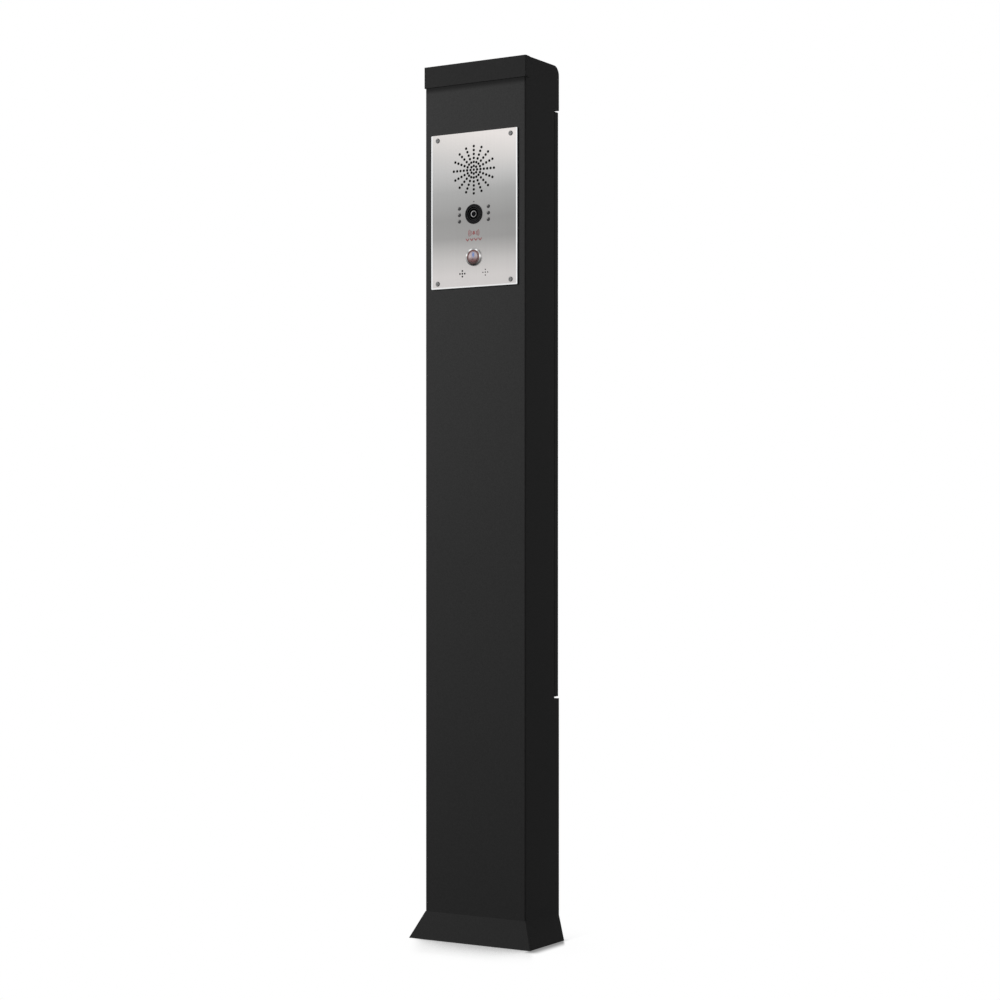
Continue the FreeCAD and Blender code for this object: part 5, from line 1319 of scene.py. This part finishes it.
@dataclass(frozen=True)
class FootShade:
    """The post's shade on the floor: soft in front of the foot, narrow along its right side."""

    looks: Point = (-1.3, 1.2, 1.0)  # direction in which the floor looks for what shades it
    reach: float = 0.14  # how far it looks
    open_share: float = 0.97  # share of open view at which the shade starts
    closed_share: float = 0.37  # share at which it is deepest
    beside_share: float = 0.04  # share of it that is left beside the foot
    beside_reach: float = 0.009  # distance from the foot's right side at which only that is left
    left_fade: float = 0.034  # distance inside the foot's left side at which it starts to thin
    lean: float = 0.61  # how far it leans to the right for each metre that it reaches forward
    side_end: float = 0.0483  # where the foot's side ends on the floor
    contact_reach: float = 0.029  # distance at which the narrow shade along it has run out
    clear_reach: float = 0.9  # distance from the post at which the floor is plain white

    def depth(self, s: Shader) -> Wire:
        """Measures how deep the shade is.

        Args:
            s: The floor's shader.

        Returns:
            1 where it is deepest, 0 on plain floor.
        """
        low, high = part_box("base_skirt")
        half_foot = (high.x - low.x) / 2
        to_right = s.x - (low.x + high.x) / 2
        looks = Vector(self.looks).normalized()
        facing = s.node("ShaderNodeCombineXYZ", inputs=dict(enumerate(looks)))
        open_sky = s.node("ShaderNodeAmbientOcclusion", {"samples": 8},
                          {"Distance": self.reach, "Normal": facing}, "AO")
        covered = (self.open_share - open_sky) / (self.open_share - self.closed_share)
        far = s.x.diagonal(s.y).rise(self.clear_reach / 2, self.clear_reach)
        aligned = to_right - self.lean * (low.y - s.y).highest(0.0)
        beside = aligned.rise(half_foot - 0.003, half_foot + self.beside_reach).highest(
            (0 - aligned).rise(half_foot - self.left_fade, half_foot))
        soft = covered.highest(0.0).lowest(1.0) ** 1.6 * (1 - far)
        soft = soft * (1 - (1 - self.beside_share) * beside)
        outside = to_right - half_foot
        started = s.y + outside / self.lean
        contact = outside.rise(self.contact_reach, 0.003) * outside.rise(-0.006, -0.001)
        contact = contact * started.rise(self.side_end + 0.004, self.side_end - 0.006)
        return soft.highest(contact * s.y.rise(low.y - self.contact_reach, low.y))


@dataclass
class Studio:
    """Floor, lamps, world and camera."""

    eye: Point = (2.006, -3.266, 0.689)
    heading_deg: float = 31.28
    lens_mm: float = 80.2
    sensor_mm: float = 36.0
    rise: float = 0.0378  # upright shift of the lens, which brings the foot into the level view
    lamps: tuple[Lamp, ...] = (
        Lamp("key", (-1.05, -1.65, 1.85), (0.0, -0.05, 1.30), 62.0),
        Lamp("back", (-0.75, 2.4, 1.7), (0.0, 0.06, 0.85), 60.0),
        Lamp("side", (2.2, 0.7, 2.0), (0.09, 0.0, 1.1), 10.5))
    sky: float = 0.16  # level of the soft light from all around
    floor_half: float = 12.0
    floor_drop: float = 0.0004  # keeps the floor from flickering in the foot
    floor_tone: float = 0.11  # its brightness as a source of light for the post
    shade_level: float = 0.28  # its brightness where the shade is deepest

    def camera(self) -> None:
        """Sets the camera at the picture's viewpoint."""
        data = bpy.data.cameras.new("view")
        data.sensor_width = self.sensor_mm
        data.lens = self.lens_mm
        data.shift_y = self.rise
        data.clip_end = 60.0
        made = placed("view", data, self.eye)
        made.rotation_euler = (math.radians(90.0), 0.0, math.radians(self.heading_deg))
        bpy.context.scene.camera = made

    def floor(self) -> None:
        """Lays the white floor, which keeps the post's shade around the foot."""
        data = bpy.data.meshes.new("floor")
        ends = (-self.floor_half, self.floor_half)
        data.from_pydata([(x, y, 0) for y in ends for x in ends], [], [(0, 1, 3, 2)])
        placed("floor", data, (0.0, 0.0, -self.floor_drop))
        s = Shader("white studio floor")
        colour = s.mix(FootShade().depth(s), grey(1.0), grey(self.shade_level))
        seen = s.node("ShaderNodeEmission", inputs={"Color": colour})
        lit = s.node("ShaderNodeBsdfDiffuse", inputs={"Color": (*grey(self.floor_tone), 1.0)})
        s.close(s.node("ShaderNodeMixShader", inputs={0: s.watched(), 1: lit, 2: seen}))
        data.materials.append(s.material)

    def world(self) -> None:
        """Sets the white surroundings, dimmer as a source of light than as a sight."""
        world = bpy.data.worlds.new("studio")
        bpy.context.scene.world = world
        world.use_nodes = True
        graph = Graph(world.node_tree)
        level = self.sky + (1 - self.sky) * graph.watched()
        back = graph.node("ShaderNodeBackground", inputs={"Color": (1, 1, 1, 1), "Strength": level})
        graph.node("ShaderNodeOutputWorld", inputs={"Surface": back})

    def build(self) -> None:
        """Sets up the whole studio."""
        bpy.context.scene.view_settings.view_transform = "Standard"
        self.camera()
        self.floor()
        self.world()
        for lamp in self.lamps:
            lamp.hang()


def main() -> None:
    """Builds each sub-assembly and then the studio."""
    logging.basicConfig(level=logging.INFO, format="%(message)s")
    for part in (Pillar(), ServiceDoor(), IntercomPanel(), LowerBay()):
        names = ", ".join(piece.name for piece in part.build())
        LOG.info("%s: %s", type(part).__name__, names or "dressed")
    Studio().build()
    LOG.info("Studio: floor, lamps and camera")


if __name__ == "__main__":
    main()
